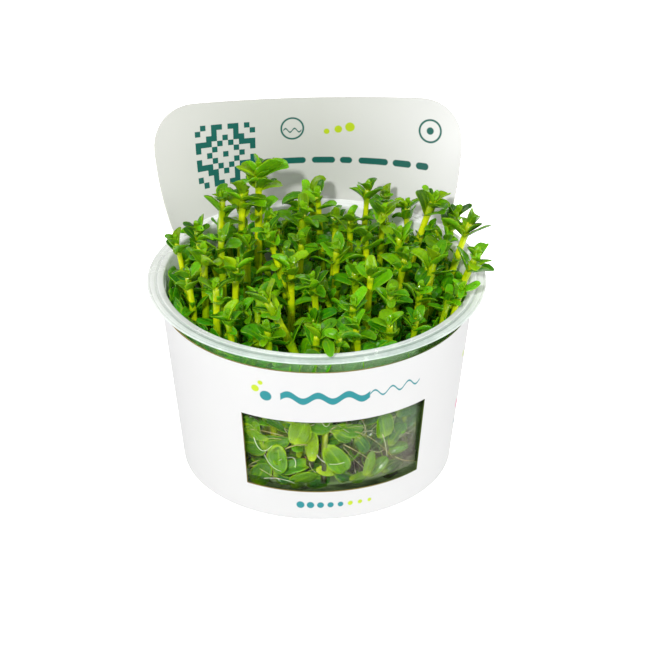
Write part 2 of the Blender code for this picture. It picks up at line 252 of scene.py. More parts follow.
# Effects that several materials share, as node groups
def newGroup(name, inputs, outputs):
    # inputs and outputs are names with the kind of each socket
    group = bpy.data.node_groups.new(name, "ShaderNodeTree")
    for side, sockets in (("INPUT", inputs), ("OUTPUT", outputs)):
        for socketName, kind in sockets.items():
            group.interface.new_socket(socketName, in_out=side, socket_type="NodeSocket" + kind)
    return group, group.nodes.new("NodeGroupInput").outputs, group.nodes.new("NodeGroupOutput").inputs


def placeGroup(tree, group, values):
    node = tree.nodes.new("ShaderNodeGroup")
    node.node_tree = group
    fill(tree, node, values)
    return node.outputs


# Marks, as soft-edged masks on the flat sheet
edgeSoft = 0.12


def inside(tree, distance):
    return remap(tree, distance, -edgeSoft, edgeSoft, 1.0, 0.0)


def reachFrom(tree, du, dv):
    return calc(tree, "SQRT", plus(tree, times(tree, du, du), times(tree, dv, dv)))


def discShape(tree, u, v, centreU, centreV, radius):
    reach = reachFrom(tree, minus(tree, u, centreU), minus(tree, v, centreV))
    return inside(tree, minus(tree, reach, radius))


def barShape(tree, u, v, centreU, centreV, halfU, halfV):
    # a bar with round ends
    du = unsigned(tree, minus(tree, u, centreU))
    du = larger(tree, minus(tree, du, minus(tree, halfU, halfV)), 0.0)
    reach = reachFrom(tree, du, minus(tree, v, centreV))
    return inside(tree, minus(tree, reach, halfV))


def waveShape(tree, u, v, startU, endU, centreV, height, pitch, halfLine):
    turns = calc(tree, "DIVIDE", minus(tree, u, startU), pitch)
    crest = times(tree, calc(tree, "SINE", times(tree, turns, 2.0 * math.pi)), height)
    off = unsigned(tree, minus(tree, minus(tree, v, centreV), crest))
    past = larger(tree, minus(tree, startU, u), minus(tree, u, endU))
    return inside(tree, larger(tree, minus(tree, off, halfLine), past))


def makeMark(name, shape, sizes):
    names = ("Along", "Up") + sizes
    group, given, result = newGroup(name, dict.fromkeys(names, "Float"), {"Mask": "Float"})
    feed(group, result["Mask"], shape(group, *[given[socketName] for socketName in names]))
    return group, names


marks = {
    "disc": makeMark("printedDisc", discShape, ("Centre Along", "Centre Up", "Radius")),
    "bar": makeMark("printedBar", barShape, ("Centre Along", "Centre Up", "Half Along", "Half Up")),
    "wave": makeMark("printedWave", waveShape, ("Start", "End", "Centre Up", "Height", "Pitch", "Half Line")),
}


def mark(tree, kind, *values):
    # the sheet's along and up sockets, then the mark's own sizes
    group, names = marks[kind]
    return placeGroup(tree, group, dict(zip(names, values)))["Mask"]


def ringMark(tree, u, v, centreU, centreV, radius, halfLine):
    reach = reachFrom(tree, minus(tree, u, centreU), minus(tree, v, centreV))
    return inside(tree, minus(tree, unsigned(tree, minus(tree, reach, radius)), halfLine))


def quiltMark(tree, u, v, centreU, centreV, half, cells):
    # a square of mirrored stepped diamonds
    cell = 2.0 * half / cells
    steps = []
    for place, centre in ((u, centreU), (v, centreV)):
        index = calc(tree, "FLOOR", calc(tree, "DIVIDE", minus(tree, place, centre - half), cell))
        steps.append(unsigned(tree, minus(tree, index, (cells - 1) / 2.0)))
    diamond = calc(tree, "MODULO", plus(tree, *steps), 3.0)
    cross = calc(tree, "MODULO", times(tree, *steps), 4.0)
    filled = larger(tree, calc(tree, "LESS_THAN", diamond, 0.5), calc(tree, "COMPARE", cross, 2.0, 0.5))
    off = larger(tree, unsigned(tree, minus(tree, u, centreU)), unsigned(tree, minus(tree, v, centreV)))
    return times(tree, filled, calc(tree, "LESS_THAN", off, half))


def anyOf(tree, masks):
    total = masks[0]
    for mask in masks[1:]:
        total = larger(tree, total, mask)
    return total


inks = {
    "teal": linear("#14838a"),
    "deepTeal": linear("#0f5f55"),
    "lime": linear("#b5cc18"),
    "pink": linear("#d87ba0"),
    "white": linear("#d1d1d1"),
    "headerPaperPaintedShade": linear("#cccdc7"),
    "headerPaperPaintedLight": linear("#e0e0de"),
}


def makePaperAndShade():
    # the sheet's white with a faint mottle and tooth; the blend to a lighter colour on the right is painted
    # shade, darker to the left
    group, given, result = newGroup(
        "cardPaperAndPaintedShade",
        {"Place": "Vector", "Along": "Float", "Paper": "Color", "Right Paper Painted Lighter": "Color"},
        {"Colour": "Color", "Roughness": "Float", "Tooth": "Float"},
    )
    cloud = noise(group, given["Place"], 60.0, 2.0)
    shade = blendColour(group, remap(group, given["Along"], 4.0, 44.0), given["Paper"], given["Right Paper Painted Lighter"])
    shade = blendColour(group, remap(group, cloud, 0.3, 0.7, 0.0, 0.05), shade, linear("#d9dcd2"))
    feed(group, result["Colour"], shade)
    feed(group, result["Roughness"], remap(group, cloud, 0.2, 0.8, 0.36, 0.46))
    feed(group, result["Tooth"], noise(group, given["Place"], 2600.0, 2.0))
    return group


paperAndShadeGroup = makePaperAndShade()


def cardBase(name, paper, paperPaintedLighterRight):
    material, tree, shader = newMaterial(name)
    u, v = [times(tree, place, sleeve["uvScale"]) for place in uvPlace(tree, "flatSheet")]
    values = {"Place": objectPlace(tree), "Along": u, "Paper": paper, "Right Paper Painted Lighter": paperPaintedLighterRight}
    sheet = placeGroup(tree, paperAndShadeGroup, values)
    bump(tree, sheet["Tooth"], 0.05, 0.0001, shader)
    fill(tree, shader, {"Roughness": sheet["Roughness"], "Specular IOR Level": 0.4})
    return material, tree, shader, sheet["Colour"], u, v


def outsideCard():
    material, tree, shader, shade, u, v = cardBase("cardOutside", inks["white"], inks["white"])
    tealMarks = anyOf(tree, [
        mark(tree, "wave", u, v, -16.0, 9.0, 45.0, 1.1, 8.333, 1.15),
        mark(tree, "wave", u, v, 9.0, 25.0, 45.0, 1.1, 5.333, 0.3),
        mark(tree, "disc", u, v, -20.2, 44.6, 1.7),
        mark(tree, "bar", u, v, 53.0, 15.0, 1.6, 0.35),
    ] + [mark(tree, "disc", u, v, -11.0 + 3.1 * i, 6.1, 1.25 - 0.09 * i) for i in range(5)])
    limeMarks = anyOf(tree, [
        mark(tree, "disc", u, v, -23.2, 46.6, 1.15),
        mark(tree, "disc", u, v, -21.6, 48.9, 0.75),
        mark(tree, "disc", u, v, 51.0, 40.0, 1.0),
    ] + [mark(tree, "disc", u, v, 4.5 + 3.1 * i, 6.1, 0.8 - 0.08 * i) for i in range(3)])
    pinkMarks = mark(tree, "disc", u, v, 52.0, 22.0, 1.4)
    for masks, ink in ((tealMarks, "teal"), (limeMarks, "lime"), (pinkMarks, "pink")):
        shade = blendColour(tree, masks, shade, inks[ink])
    feed(tree, shader.inputs["Base Color"], shade)
    return material


def insideCard():
    # painted shade: inside, the paper runs from darker at the left to lighter at the right
    material, tree, shader, shade, u, v = cardBase("cardInside", inks["headerPaperPaintedShade"], inks["headerPaperPaintedLight"])
    barPlaces = ((-4.5, 4.0), (5.0, 3.6), (12.0, 1.9), (20.5, 4.6), (29.5, 2.9), (36.0, 2.0))
    deepMarks = anyOf(tree, [
        quiltMark(tree, u, v, -25.5, 76.0, 9.4, 11),
        ringMark(tree, u, v, 38.0, 82.5, 3.3, 0.3),
        mark(tree, "disc", u, v, 38.0, 82.5, 1.1),
        ringMark(tree, u, v, -4.6, 82.6, 3.4, 0.28),
        mark(tree, "wave", u, v, -7.4, -1.8, 82.0, 0.6, 2.8, 0.25),
    ] + [mark(tree, "bar", u, v, place, 72.0, half, 1.0) for place, half in barPlaces])
    limeMarks = anyOf(tree, [
        mark(tree, "disc", u, v, 6.0 + 3.6 * i, 81.4 + 0.7 * i, 0.9 + 0.3 * i) for i in range(3)
    ])
    shade = blendColour(tree, deepMarks, shade, inks["deepTeal"])
    feed(tree, shader.inputs["Base Color"], blendColour(tree, limeMarks, shade, inks["lime"]))
    return material


def cutEdge():
    # bare board where the sheet is cut, damp and darker low down; towards the window's right side it is
    # painted dark green, a painted shade
    material, tree, shader = newMaterial("cardCutEdge")
    place = objectPlace(tree)
    across, depth, height = splitPlace(tree, place)
    fibre = noise(tree, place, 1500.0, 2.0)
    dampAndPaintedShade = blendColour(tree, fibre, linear("#6f5e2a"), linear("#a8935a"))
    # painted shade: dark green towards the window's right side, where only shade shows past the edge
    dampAndPaintedShade = blendColour(tree, remap(tree, across, 0.012, 0.024), dampAndPaintedShade, linear("#48581c"))
    dry = blendColour(tree, fibre, linear("#d2d2c8"), linear("#e2e2da"))
    shade = blendColour(tree, remap(tree, height, 0.0545, 0.0575), dampAndPaintedShade, dry)
    fill(tree, shader, {"Base Color": shade, "Roughness": 0.75})
    return material


def letLightThrough(tree, shader, share):
    # lamps light what stands behind clear plastic
    blocked = times(tree, seenBy(tree, "Is Shadow Ray"), share)
    feed(tree, shader.inputs["Alpha"], minus(tree, 1.0, blocked))


def makeWallSurface():
    group, given, result = newGroup(
        "mouldedWall", {"Place": "Vector"}, {"Colour": "Color", "Roughness": "Float", "Cloud": "Float"}
    )
    cloud = noise(group, given["Place"], 90.0, 3.0)
    feed(group, result["Colour"], blendColour(group, cloud, linear("#f8fbf8"), linear("#ffffff")))
    # condensation blurs what stands away from the wall, more on the right of the window
    across = splitPlace(group, given["Place"])[0]
    mist = plus(group, times(group, across, 16.0), times(group, cloud, 0.8))
    feed(group, result["Roughness"], remap(group, mist, 0.35, 1.0, 0.02, 0.24))
    feed(group, result["Cloud"], cloud)
    return group


wallGroup = makeWallSurface()


def cupPlastic(name, clear):
    # moulded wall, fully clear in front of the plants and milky behind them
    material, tree, shader = newMaterial(name)
    wall = placeGroup(tree, wallGroup, {"Place": objectPlace(tree)})
    fill(tree, shader, {
        "Base Color": wall["Colour"],
        "Roughness": wall["Roughness"],
        "Transmission Weight": clear,
        "IOR": 1.14,
        "Specular IOR Level": 0.4,
    })
    bump(tree, wall["Cloud"], 0.08, 0.0003, shader)
    letLightThrough(tree, shader, 0.96)
    return material


rimGrooveShade = {"radius": 47.24, "half": 0.17, "share": 0.6}


def makeRimSurface():
    group, given, result = newGroup(
        "mouldedRim",
        {"Place": "Vector", "Thin": "Color", "Thick": "Color"},
        {"Colour": "Color", "Roughness": "Float", "Cloud": "Float"},
    )
    place = given["Place"]
    cloud = noise(group, place, 160.0, 4.0, 0.6)
    streak = noise(group, place, 900.0, 2.0)
    mix = plus(group, times(group, cloud, 0.7), times(group, streak, 0.3))
    shade = blendColour(group, remap(group, mix, 0.35, 0.65), given["Thin"], given["Thick"])
    # painted light: whiter towards the back, where the rim shows brightly lit
    across, depth, height = splitPlace(group, place)
    shade = blendColour(group, remap(group, depth, -0.038, -0.014, 0.0, 0.95), shade, linear("#f6f8f5"))
    # painted shade: a dark line in the groove between ring and lip, fainter towards the back
    off = unsigned(group, minus(group, reachFrom(group, across, depth), rimGrooveShade["radius"] * mm))
    line = remap(group, off, rimGrooveShade["half"] * mm, 2.0 * rimGrooveShade["half"] * mm, rimGrooveShade["share"], 0.0)
    line = times(group, line, remap(group, depth, -0.034, -0.006, 1.0, 0.4))
    feed(group, result["Colour"], blendColour(group, line, shade, linear("#5f7a66")))
    feed(group, result["Roughness"], remap(group, cloud, 0.3, 0.7, 0.14, 0.3))
    feed(group, result["Cloud"], cloud)
    return group


rimGroup = makeRimSurface()


def rimPlastic(name, clear, thin, thick):
    # thicker than the wall, so it scatters more light and reads as pale grey-green
    material, tree, shader = newMaterial(name)
    values = {"Place": objectPlace(tree), "Thin": linear(thin), "Thick": linear(thick)}
    rim = placeGroup(tree, rimGroup, values)
    fill(tree, shader, {
        "Base Color": rim["Colour"],
        "Roughness": rim["Roughness"],
        "Transmission Weight": clear,
        "IOR": 1.3,
    })
    bump(tree, rim["Cloud"], 0.06, 0.0003, shader)
    letLightThrough(tree, shader, 0.92)
    return material


def gelClear():
    material, tree, shader = newMaterial("cultureGel")
    cloud = noise(tree, objectPlace(tree), 110.0, 3.0)
    fill(tree, shader, {
        "Base Color": blendColour(tree, cloud, linear("#62804a"), linear("#8ea66c")),
        "Roughness": remap(tree, cloud, 0.3, 0.7, 0.03, 0.16),
        "Transmission Weight": 1.0,
        "IOR": 1.12,
        "Specular IOR Level": 0.4,
    })
    bump(tree, cloud, 0.3, 0.0008, shader)
    letLightThrough(tree, shader, 0.9)
    return material


def makeWaterBeads():
    # fine beads of water catch the light
    group, given, result = newGroup("waterBeads", {"Place": "Vector"}, {"Height": "Float"})
    feed(group, result["Height"], remap(group, noise(group, given["Place"], 1500.0, 1.0), 0.6, 0.72))
    return group


def makePaintedShadeGreen():
    # painted shade: down between the stems, above what the window shows, the plants' colour shifts to a purer
    # green that stands in for the shade there
    group, given, result = newGroup(
        "paintedShadeGreen",
        {"Place": "Vector", "Open": "Color", "Deep": "Color", "Share": "Float", "Top": "Float"},
        {"Colour": "Color"},
    )
    height = splitPlace(group, given["Place"])[2]
    above = remap(group, height, 0.037, 0.041)
    below = calc(group, "DIVIDE", minus(group, given["Top"], height), 0.018, clamp=True)
    share = times(group, times(group, above, below), given["Share"])
    feed(group, result["Colour"], blendColour(group, share, given["Open"], given["Deep"]))
    return group


beadGroup = makeWaterBeads()
paintedShadeGroup = makePaintedShadeGreen()


def leafGreen():
    # the tint holds a tone for each leaf, its shares of yellow and brown, and 1 on its underside
    material, tree, shader = newMaterial("bacopaLeaf")
    sideways, along = uvPlace(tree, "blade")
    across = unsigned(tree, minus(tree, times(tree, sideways, 2.0), 1.0))
    tone, yellow, brown, underside = plantTint(tree)
    place = objectPlace(tree)
    mottle = noise(tree, place, 350.0, 3.0)
    depth = plus(tree, times(tree, tone, 0.8), times(tree, mottle, 0.45))
    shade = blendColour(tree, remap(tree, depth, 0.2, 1.05), linear("#0a4e00"), linear("#74c400"))
    shade = blendColour(tree, times(tree, underside, 0.3), shade, linear("#7cb51e"))
    yellow = calc(tree, "ADD", yellow, remap(tree, along, 0.0, 0.3, 0.5, 0.0), clamp=True)
    shade = blendColour(tree, yellow, shade, linear("#b0cc00"))
    # painted shade of the depth between the stems
    values = {"Place": place, "Open": shade, "Deep": linear("#2ca200"), "Share": 0.7, "Top": 0.07}
    shade = placeGroup(tree, paintedShadeGroup, values)["Colour"]
    # a paler midrib and faint veins that bow with the blade, and a painted glow of light along the margin
    veinPhase = calc(tree, "SINE", times(tree, across, 16.0))
    veins = times(tree, remap(tree, veinPhase, 0.7, 1.0), 0.12)
    midrib = remap(tree, across, 0.0, 0.12, 1.0, 0.0)
    midrib = times(tree, midrib, remap(tree, along, 0.5, 0.9, 0.4, 0.0))
    # painted light: the paler margin stands in for light glowing through the thin edge
    paintedMarginGlow = remap(tree, across, 0.86, 1.0, 0.0, 0.65)
    veinsAndPaintedGlow = anyOf(tree, (veins, midrib, paintedMarginGlow))
    shade = blendColour(tree, veinsAndPaintedGlow, shade, linear("#a6d600"))
    shade = blendColour(tree, brown, shade, linear("#4a3c24"))
    fill(tree, shader, {
        "Base Color": shade,
        "Roughness": remap(tree, mottle, 0.3, 0.7, 0.4, 0.6),
        "Specular IOR Level": 0.12,
        "Subsurface Weight": 0.2,
        "Subsurface Radius": (0.6, 1.0, 0.0),
        "Subsurface Scale": 0.0009,
        "Coat Weight": remap(tree, noise(tree, place, 420.0, 2.0), 0.45, 0.54),
        "Coat Roughness": 0.12,
    })
    relief = minus(tree, times(tree, mottle, 0.8), times(tree, veinsAndPaintedGlow, 0.8))
    beads = placeGroup(tree, beadGroup, {"Place": place})["Height"]
    bump(tree, plus(tree, relief, times(tree, beads, 1.1)), 0.7, 0.0003, shader)
    return material


def stemGreen():
    # the tint holds a tone for each stem, how near a joint is, and how old and brown it is
    material, tree, shader = newMaterial("bacopaStem")
    tone, joint, old = plantTint(tree)[:3]
    place = objectPlace(tree)
    streakPlace = tree.nodes.new("ShaderNodeMapping")
    fill(tree, streakPlace, {"Vector": place, "Scale": (1.0, 1.0, 0.12)})
    streak = noise(tree, streakPlace.outputs[0], 2200.0, 2.0)
    mix = plus(tree, times(tree, tone, 0.8), times(tree, streak, 0.35))
    shade = blendColour(tree, remap(tree, mix, 0.12, 0.88), linear("#669e00"), linear("#ecf80c"))
    shade = blendColour(tree, joint, shade, linear("#529200"))
    # painted shade of the depth between the stems
    values = {"Place": place, "Open": shade, "Deep": linear("#4caa00"), "Share": 0.6, "Top": 0.063}
    shade = placeGroup(tree, paintedShadeGroup, values)["Colour"]
    fill(tree, shader, {
        "Base Color": blendColour(tree, old, shade, linear("#33370f")),
        "Roughness": remap(tree, streak, 0.3, 0.7, 0.25, 0.45),
        "Specular IOR Level": 0.15,
        "Subsurface Weight": 0.25,
        "Subsurface Radius": (0.9, 1.0, 0.0),
        "Subsurface Scale": 0.0012,
        "Coat Weight": 1.0,
        "Coat Roughness": 0.09,
    })
    beads = placeGroup(tree, beadGroup, {"Place": place})["Height"]
    bump(tree, plus(tree, times(tree, streak, 0.3), beads), 0.7, 0.0002, shader)
    return material


def rootWhite():
    # the tint holds the root's age
    material, tree, shader = newMaterial("bacopaRoot")
    cloud = noise(tree, objectPlace(tree), 500.0, 2.0)
    pale = blendColour(tree, cloud, linear("#c9c79a"), linear("#f6f6e6"))
    old = blendColour(tree, cloud, linear("#6f6c2c"), linear("#aeaa4c"))
    fill(tree, shader, {
        "Base Color": blendColour(tree, plantTint(tree)[0], pale, old),
        "Roughness": 0.35,
        "Subsurface Weight": 0.3,
        "Subsurface Scale": 0.0006,
        "Coat Weight": 0.3,
    })
    return material


def mistFilm():
    # fine condensation, dull violet low down and greener above, thicker to the right
    material, tree, shader = newMaterial("wallMist")
    place = objectPlace(tree)
    across, depth, height = splitPlace(tree, place)
    cloud = noise(tree, place, 130.0, 3.0)
    rise = plus(tree, times(tree, height, 30.0), times(tree, cloud, 0.7))
    shade = blendColour(tree, remap(tree, rise, 0.95, 1.25), linear("#8f8378"), linear("#7f9f76"))
    # painted shade: past the window's right edge the film turns into a dark green sheet where only dark green
    # shows
    paintedShadeStrip = remap(tree, across, 0.0267, 0.0272)
    shade = blendColour(tree, paintedShadeStrip, shade, linear("#2c4a0c"))
    # under the rim it is thin at the left of the front and clouds over to white towards the back
    rim = remap(tree, height, 0.045, 0.046)
    white = times(tree, rim, remap(tree, depth, -0.023, -0.006))
    shade = blendColour(tree, white, shade, linear("#f4f7f4"))
    reach = plus(tree, across, times(tree, cloud, 0.012))
    veil = larger(tree, remap(tree, reach, 0.008, 0.034, 0.0, 0.2), times(tree, paintedShadeStrip, 0.78))
    thin = remap(tree, across, -0.022, 0.014, 0.1, 0.4)
    veil = blendColour(tree, rim, veil, larger(tree, thin, white))
    seen = minus(tree, 1.0, seenBy(tree, "Is Shadow Ray"))
    fill(tree, shader, {"Base Color": shade, "Roughness": 0.6, "Alpha": times(tree, veil, seen)})
    return material


def waterDrop():
    material, tree, shader = newMaterial("waterDrop")
    white = (1.0, 1.0, 1.0, 1.0)
    fill(tree, shader, {"Base Color": white, "Transmission Weight": 1.0, "IOR": 1.33, "Roughness": 0.0})
    return material


finish = {
    "cardOutside": outsideCard(),
    "cardInside": insideCard(),
    "cutEdge": cutEdge(),
    "cupWall": cupPlastic("cupWallPlastic", 1.0),
    "cupHaze": cupPlastic("cupHazePlastic", 0.14),
    "cupLip": rimPlastic("cupLipPlastic", 0.14, "#c4d1ca", "#e0eae4"),
    "gel": gelClear(),
    "leaf": leafGreen(),
    "stem": stemGreen(),
    "root": rootWhite(),
    "drop": waterDrop(),
    "mist": mistFilm(),
}
for number, clear in enumerate(cup["ringClear"], start=1):
    finish[f"cupRing{number}"] = rimPlastic(f"cupRingPlastic{number}", clear, "#e2ece7", "#fafdfb")
print("finishes made:", len(finish))


# Pieces
def meshFrom(bm, name):
    mesh = bpy.data.meshes.new(name)
    bm.to_mesh(mesh)
    bm.free()
    return mesh


def addPiece(name, bm, materials, replaced=()):
    mesh = meshFrom(bm, name)
    for material in materials:
        mesh.materials.append(finish[material])
    mesh.shade_smooth()
    piece = bpy.data.objects.new(name, mesh)
    bpy.context.scene.collection.objects.link(piece)
    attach(piece, "root")
    if replaced:
        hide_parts(*replaced)
    return piece


def sleeveRadius(z):
    share = (z - sleeve["foot"]) / (sleeve["top"] - sleeve["foot"])
    return sleeve["footRadius"] + share * (sleeve["topRadius"] - sleeve["footRadius"])


def cupOuter(z):
    return sleeveRadius(z) - sleeve["card"] - cup["fitGap"]


def cupInner(z):
    return cupOuter(z) - cup["wall"]


def headerApex(z):
    if z < sleeve["knee"]:
        share = (z - sleeve["top"]) / (sleeve["knee"] - sleeve["top"])
        return sleeve["topRadius"] + share * (sleeve["kneeRadius"] - sleeve["topRadius"])
    return sleeve["kneeRadius"] + sleeve["lean"] * (z - sleeve["knee"])


def headerBend(z):
    share = 1.0 - (z - sleeve["top"]) / (sleeve["headerTop"] - sleeve["top"])
    footBend = 1.0 / sleeve["topRadius"]
    return sleeve["topBend"] + (footBend - sleeve["topBend"]) * max(share, 0.0) ** sleeve["bendPower"]


def headerPoint(along, z):
    radius = 1.0 / headerBend(z)
    turn = along / radius
    return Vector((radius * math.sin(turn), headerApex(z) - radius + radius * math.cos(turn), z)) * mm


def headerFlare(z):
    share = max(0.0, 1.0 - (z - sleeve["top"]) / (sleeve["knee"] - sleeve["top"]))
    return sleeve["headerFootFlare"] * share * share


def headerEdge(along):
    corner = sleeve["headerCorner"]
    past = abs(along) - (sleeve["headerHalf"] - corner)
    if past <= 0.0:
        return sleeve["headerTop"]
    return sleeve["headerTop"] - corner + math.sqrt(max(corner ** 2 - past ** 2, 0.0))


def headerColumns():
    flat = sleeve["headerHalf"] - sleeve["headerCorner"]
    count = sleeve["headerColumns"]
    middle = [flat * (2.0 * i / count - 1.0) for i in range(count + 1)]
    last = sleeve["cornerColumns"]
    end = [flat + sleeve["headerCorner"] * math.sin(math.pi / 2 * i / last) for i in range(1, last + 1)]
    return [-place for place in reversed(end)] + middle + end


def spread(start, end, count):
    # even steps from the start, which is left out, up to the end
    return [start + (end - start) * i / count for i in range(1, count + 1)]


def headerHeights(along):
    top, knee, straight = sleeve["top"], sleeve["knee"], sleeve["straightFrom"]
    low = [top] + spread(top, knee, sleeve["kneeRows"]) + spread(knee, straight, 2)
    return low + spread(straight, headerEdge(along), sleeve["upperRows"])


def makeSleeve():
    places = headerColumns()
    footHalf = sleeve["headerHalf"] + sleeve["headerFootFlare"]
    halfDeg = math.degrees(footHalf / sleeve["topRadius"])
    degs = [place / sleeve["headerHalf"] * halfDeg for place in places]
    headerLast = len(degs) - 1
    windowStart = sleeve["windowCentreDeg"] - sleeve["windowHalfDeg"]
    windowEnd = sleeve["windowCentreDeg"] + sleeve["windowHalfDeg"]
    degs += spread(halfDeg, windowStart, sleeve["sideColumns"])
    windowFirst = len(degs) - 1
    degs += spread(windowStart, windowEnd, sleeve["windowColumns"])
    windowLast = len(degs) - 1
    degs += spread(windowEnd, 360.0 - halfDeg, sleeve["sideColumns"])
    lowRows, windowRows, highRows = sleeve["wrapRows"]
    heights = [sleeve["foot"]] + spread(sleeve["foot"], sleeve["windowBottom"], lowRows)
    heights += spread(sleeve["windowBottom"], sleeve["windowTop"], windowRows)
    heights += spread(sleeve["windowTop"], sleeve["top"], highRows)
    wrapTop = len(heights) - 1
    columns = len(degs) - 1
    rows = wrapTop + len(headerHeights(0.0)) - 1
    bm = bmesh.new()
    bmesh.ops.create_grid(bm, x_segments=columns, y_segments=rows, size=1.0)
    cellOf = {}
    for vert in bm.verts:
        cellOf[vert] = (round((vert.co.x + 1) / 2 * columns), round((vert.co.y + 1) / 2 * rows))
    dropped = []
    for face in bm.faces:
        column = min(cellOf[vert][0] for vert in face.verts)
        row = min(cellOf[vert][1] for vert in face.verts)
        inWindow = lowRows <= row < lowRows + windowRows and windowFirst <= column < windowLast
        besideHeader = row >= wrapTop and column >= headerLast
        if inWindow or besideHeader:
            dropped.append(face)
    bmesh.ops.delete(bm, geom=dropped, context="FACES")
    sheet = bm.loops.layers.uv.new("flatSheet")
    unit = sleeve["uvScale"]
    for face in bm.faces:
        onHeader = min(cellOf[vert][1] for vert in face.verts) >= wrapTop
        for loop in face.loops:
            column, row = cellOf[loop.vert]
            if onHeader:
                along = places[column]
                z = headerHeights(along)[row - wrapTop]
                loop[sheet].uv = (along / unit, z / unit)
            else:
                along = math.radians(sleeve["windowCentreDeg"] - degs[column]) * sleeve["uvRadius"]
                loop[sheet].uv = (along / unit, heights[row] / unit)
    for vert in bm.verts:
        column, row = cellOf[vert]
        if row <= wrapTop:
            turn = math.radians(degs[column])
            vert.co = Vector((math.sin(turn), math.cos(turn), 0.0)) * sleeveRadius(heights[row]) * mm
            vert.co.z = heights[row] * mm
        else:
            along = places[column]
            z = headerHeights(along)[row - wrapTop]
            vert.co = headerPoint(along * (1.0 + headerFlare(z) / sleeve["headerHalf"]), z)
    bmesh.ops.remove_doubles(bm, verts=bm.verts[:], dist=0.00001)
    bmesh.ops.recalc_face_normals(bm, faces=bm.faces[:])
    front = min(bm.faces, key=lambda face: face.calc_center_median().y)
    if front.normal.y > 0.0:
        bmesh.ops.reverse_faces(bm, faces=bm.faces[:])
    bm.edges.index_update()
    cut = [edge.index for edge in bm.edges if edge.is_boundary]
    piece = addPiece("cardSleeve", bm, ("cardOutside", "cardInside", "cutEdge"), ("sleeve",))
    for index in cut:
        piece.data.edges[index].use_edge_sharp = True
    card = piece.modifiers.new("card", "SOLIDIFY")
    card.thickness = sleeve["card"] * mm
    card.offset = -1.0
    card.use_even_offset = True
    card.material_offset = 1
    card.material_offset_rim = 2
    return piece


def roundedProfile(points, steps=4):
    # each point is radius, height and corner radius in mm; a corner becomes a small arc
    path = []
    for index, (r, z, corner) in enumerate(points):
        here = Vector((r, z))
        if corner == 0.0 or index in (0, len(points) - 1):
            path.append(here)
            continue
        before = Vector(points[index - 1][:2]) - here
        after = Vector(points[index + 1][:2]) - here
        reach = min(corner, 0.45 * before.length, 0.45 * after.length)
        start = here + before.normalized() * reach
        end = here + after.normalized() * reach
        for i in range(steps + 1):
            share = i / steps
            path.append((1 - share) ** 2 * start + 2 * share * (1 - share) * here + share ** 2 * end)
    return path


def turn(path, steps):
    bm = bmesh.new()
    verts = [bm.verts.new((point.x * mm, 0.0, point.y * mm)) for point in path]
    edges = [bm.edges.new(pair) for pair in zip(verts, verts[1:])]
    bmesh.ops.spin(
        bm, geom=verts + edges, axis=(0, 0, 1), cent=(0, 0, 0), angle=2 * math.pi, steps=steps, use_merge=True
    )
    bmesh.ops.remove_doubles(bm, verts=bm.verts[:], dist=0.00001)
    bmesh.ops.recalc_face_normals(bm, faces=bm.faces[:])
    return bm


def makeCup():
    step, top, edge = cup["rimStep"], cup["rimFace"], cup["rimRadius"]
    floorCurve, wallEnd, footHeight = cup["floorCurve"], cup["wallEnd"], cup["footHeight"]
    groove = top - cup["grooveDepth"]
    profile = (
        # inside, from the floor up to the mouth
        (0.0, cup["wall"], 0.0),
        (cupInner(0) - cup["floorInset"], cup["wall"], 1.5),
        (cupInner(floorCurve), floorCurve, 1.5),
        (cupInner(wallEnd), wallEnd, 0.8),
        # over the ring, into the groove and out along the lip, which has a fine line near its edge
        (cup["rimMouth"], cup["rimTop"], 0.5),
        (step - 0.35, cup["rimTop"], 0.25),
        (step - 0.1, groove, 0.1),
        (step + 0.3, groove, 0.1),
        (step + 0.55, top, 0.15),
        (edge - 1.1, top - 0.02, 0.1),
        (edge - 0.9, top - 0.14, 0.05),
        (edge - 0.7, top - 0.02, 0.05),
        (edge - 0.3, top, 0.2),
        (edge, top - 0.2, 0.08),
        # back under the rim and down the outside
        (edge, cup["rimUnderside"], 0.1),
        (cup["rimRoot"], cup["rimUnderside"], 0.3),
        (cupOuter(wallEnd), wallEnd, 0.6),
        (cupOuter(footHeight), footHeight, 1.2),
        (cupOuter(0) - cup["flatInset"], 0.0, 1.0),
        (0.0, 0.0, 0.0),
    )
    bm = turn(roundedProfile(profile), cup["steps"])
    finishes = ("cupWall", "cupHaze", "cupRing1", "cupRing2", "cupRing3", "cupRing4", "cupLip")
    for face in bm.faces:
        centre = face.calc_center_median() / mm
        if centre.z > cup["rimFrom"]:
            passed = sum(centre.y > border for border in cup["ringBorders"])
            face.material_index = 2 + passed if centre.xy.length < step else len(finishes) - 1
        elif centre.z > cup["hazeFrom"] and centre.y > cup["hazeBehind"]:
            face.material_index = 1
    return addPiece("cultureCup", bm, finishes, ("cup",))


def makeGel():
    profile = (
        (0.0, gel["top"], 0.0),
        (cupInner(gel["top"]) - gel["meniscusWidth"], gel["top"], 1.0),
        (cupInner(gel["meniscus"]) - gel["gap"], gel["meniscus"], 0.2),
        (cupInner(gel["floorCurve"]) - gel["gap"], gel["floorCurve"], 0.8),
        (cupInner(0) - gel["floorInset"], gel["floor"], 0.6),
        (0.0, gel["floor"], 0.0),
    )
    bm = turn(roundedProfile(profile), gel["steps"])
    return addPiece("gelSlab", bm, ("gel",), ("nutrient_gel",))


makeSleeve()
makeCup()
makeGel()
print("cup, card and gel made")

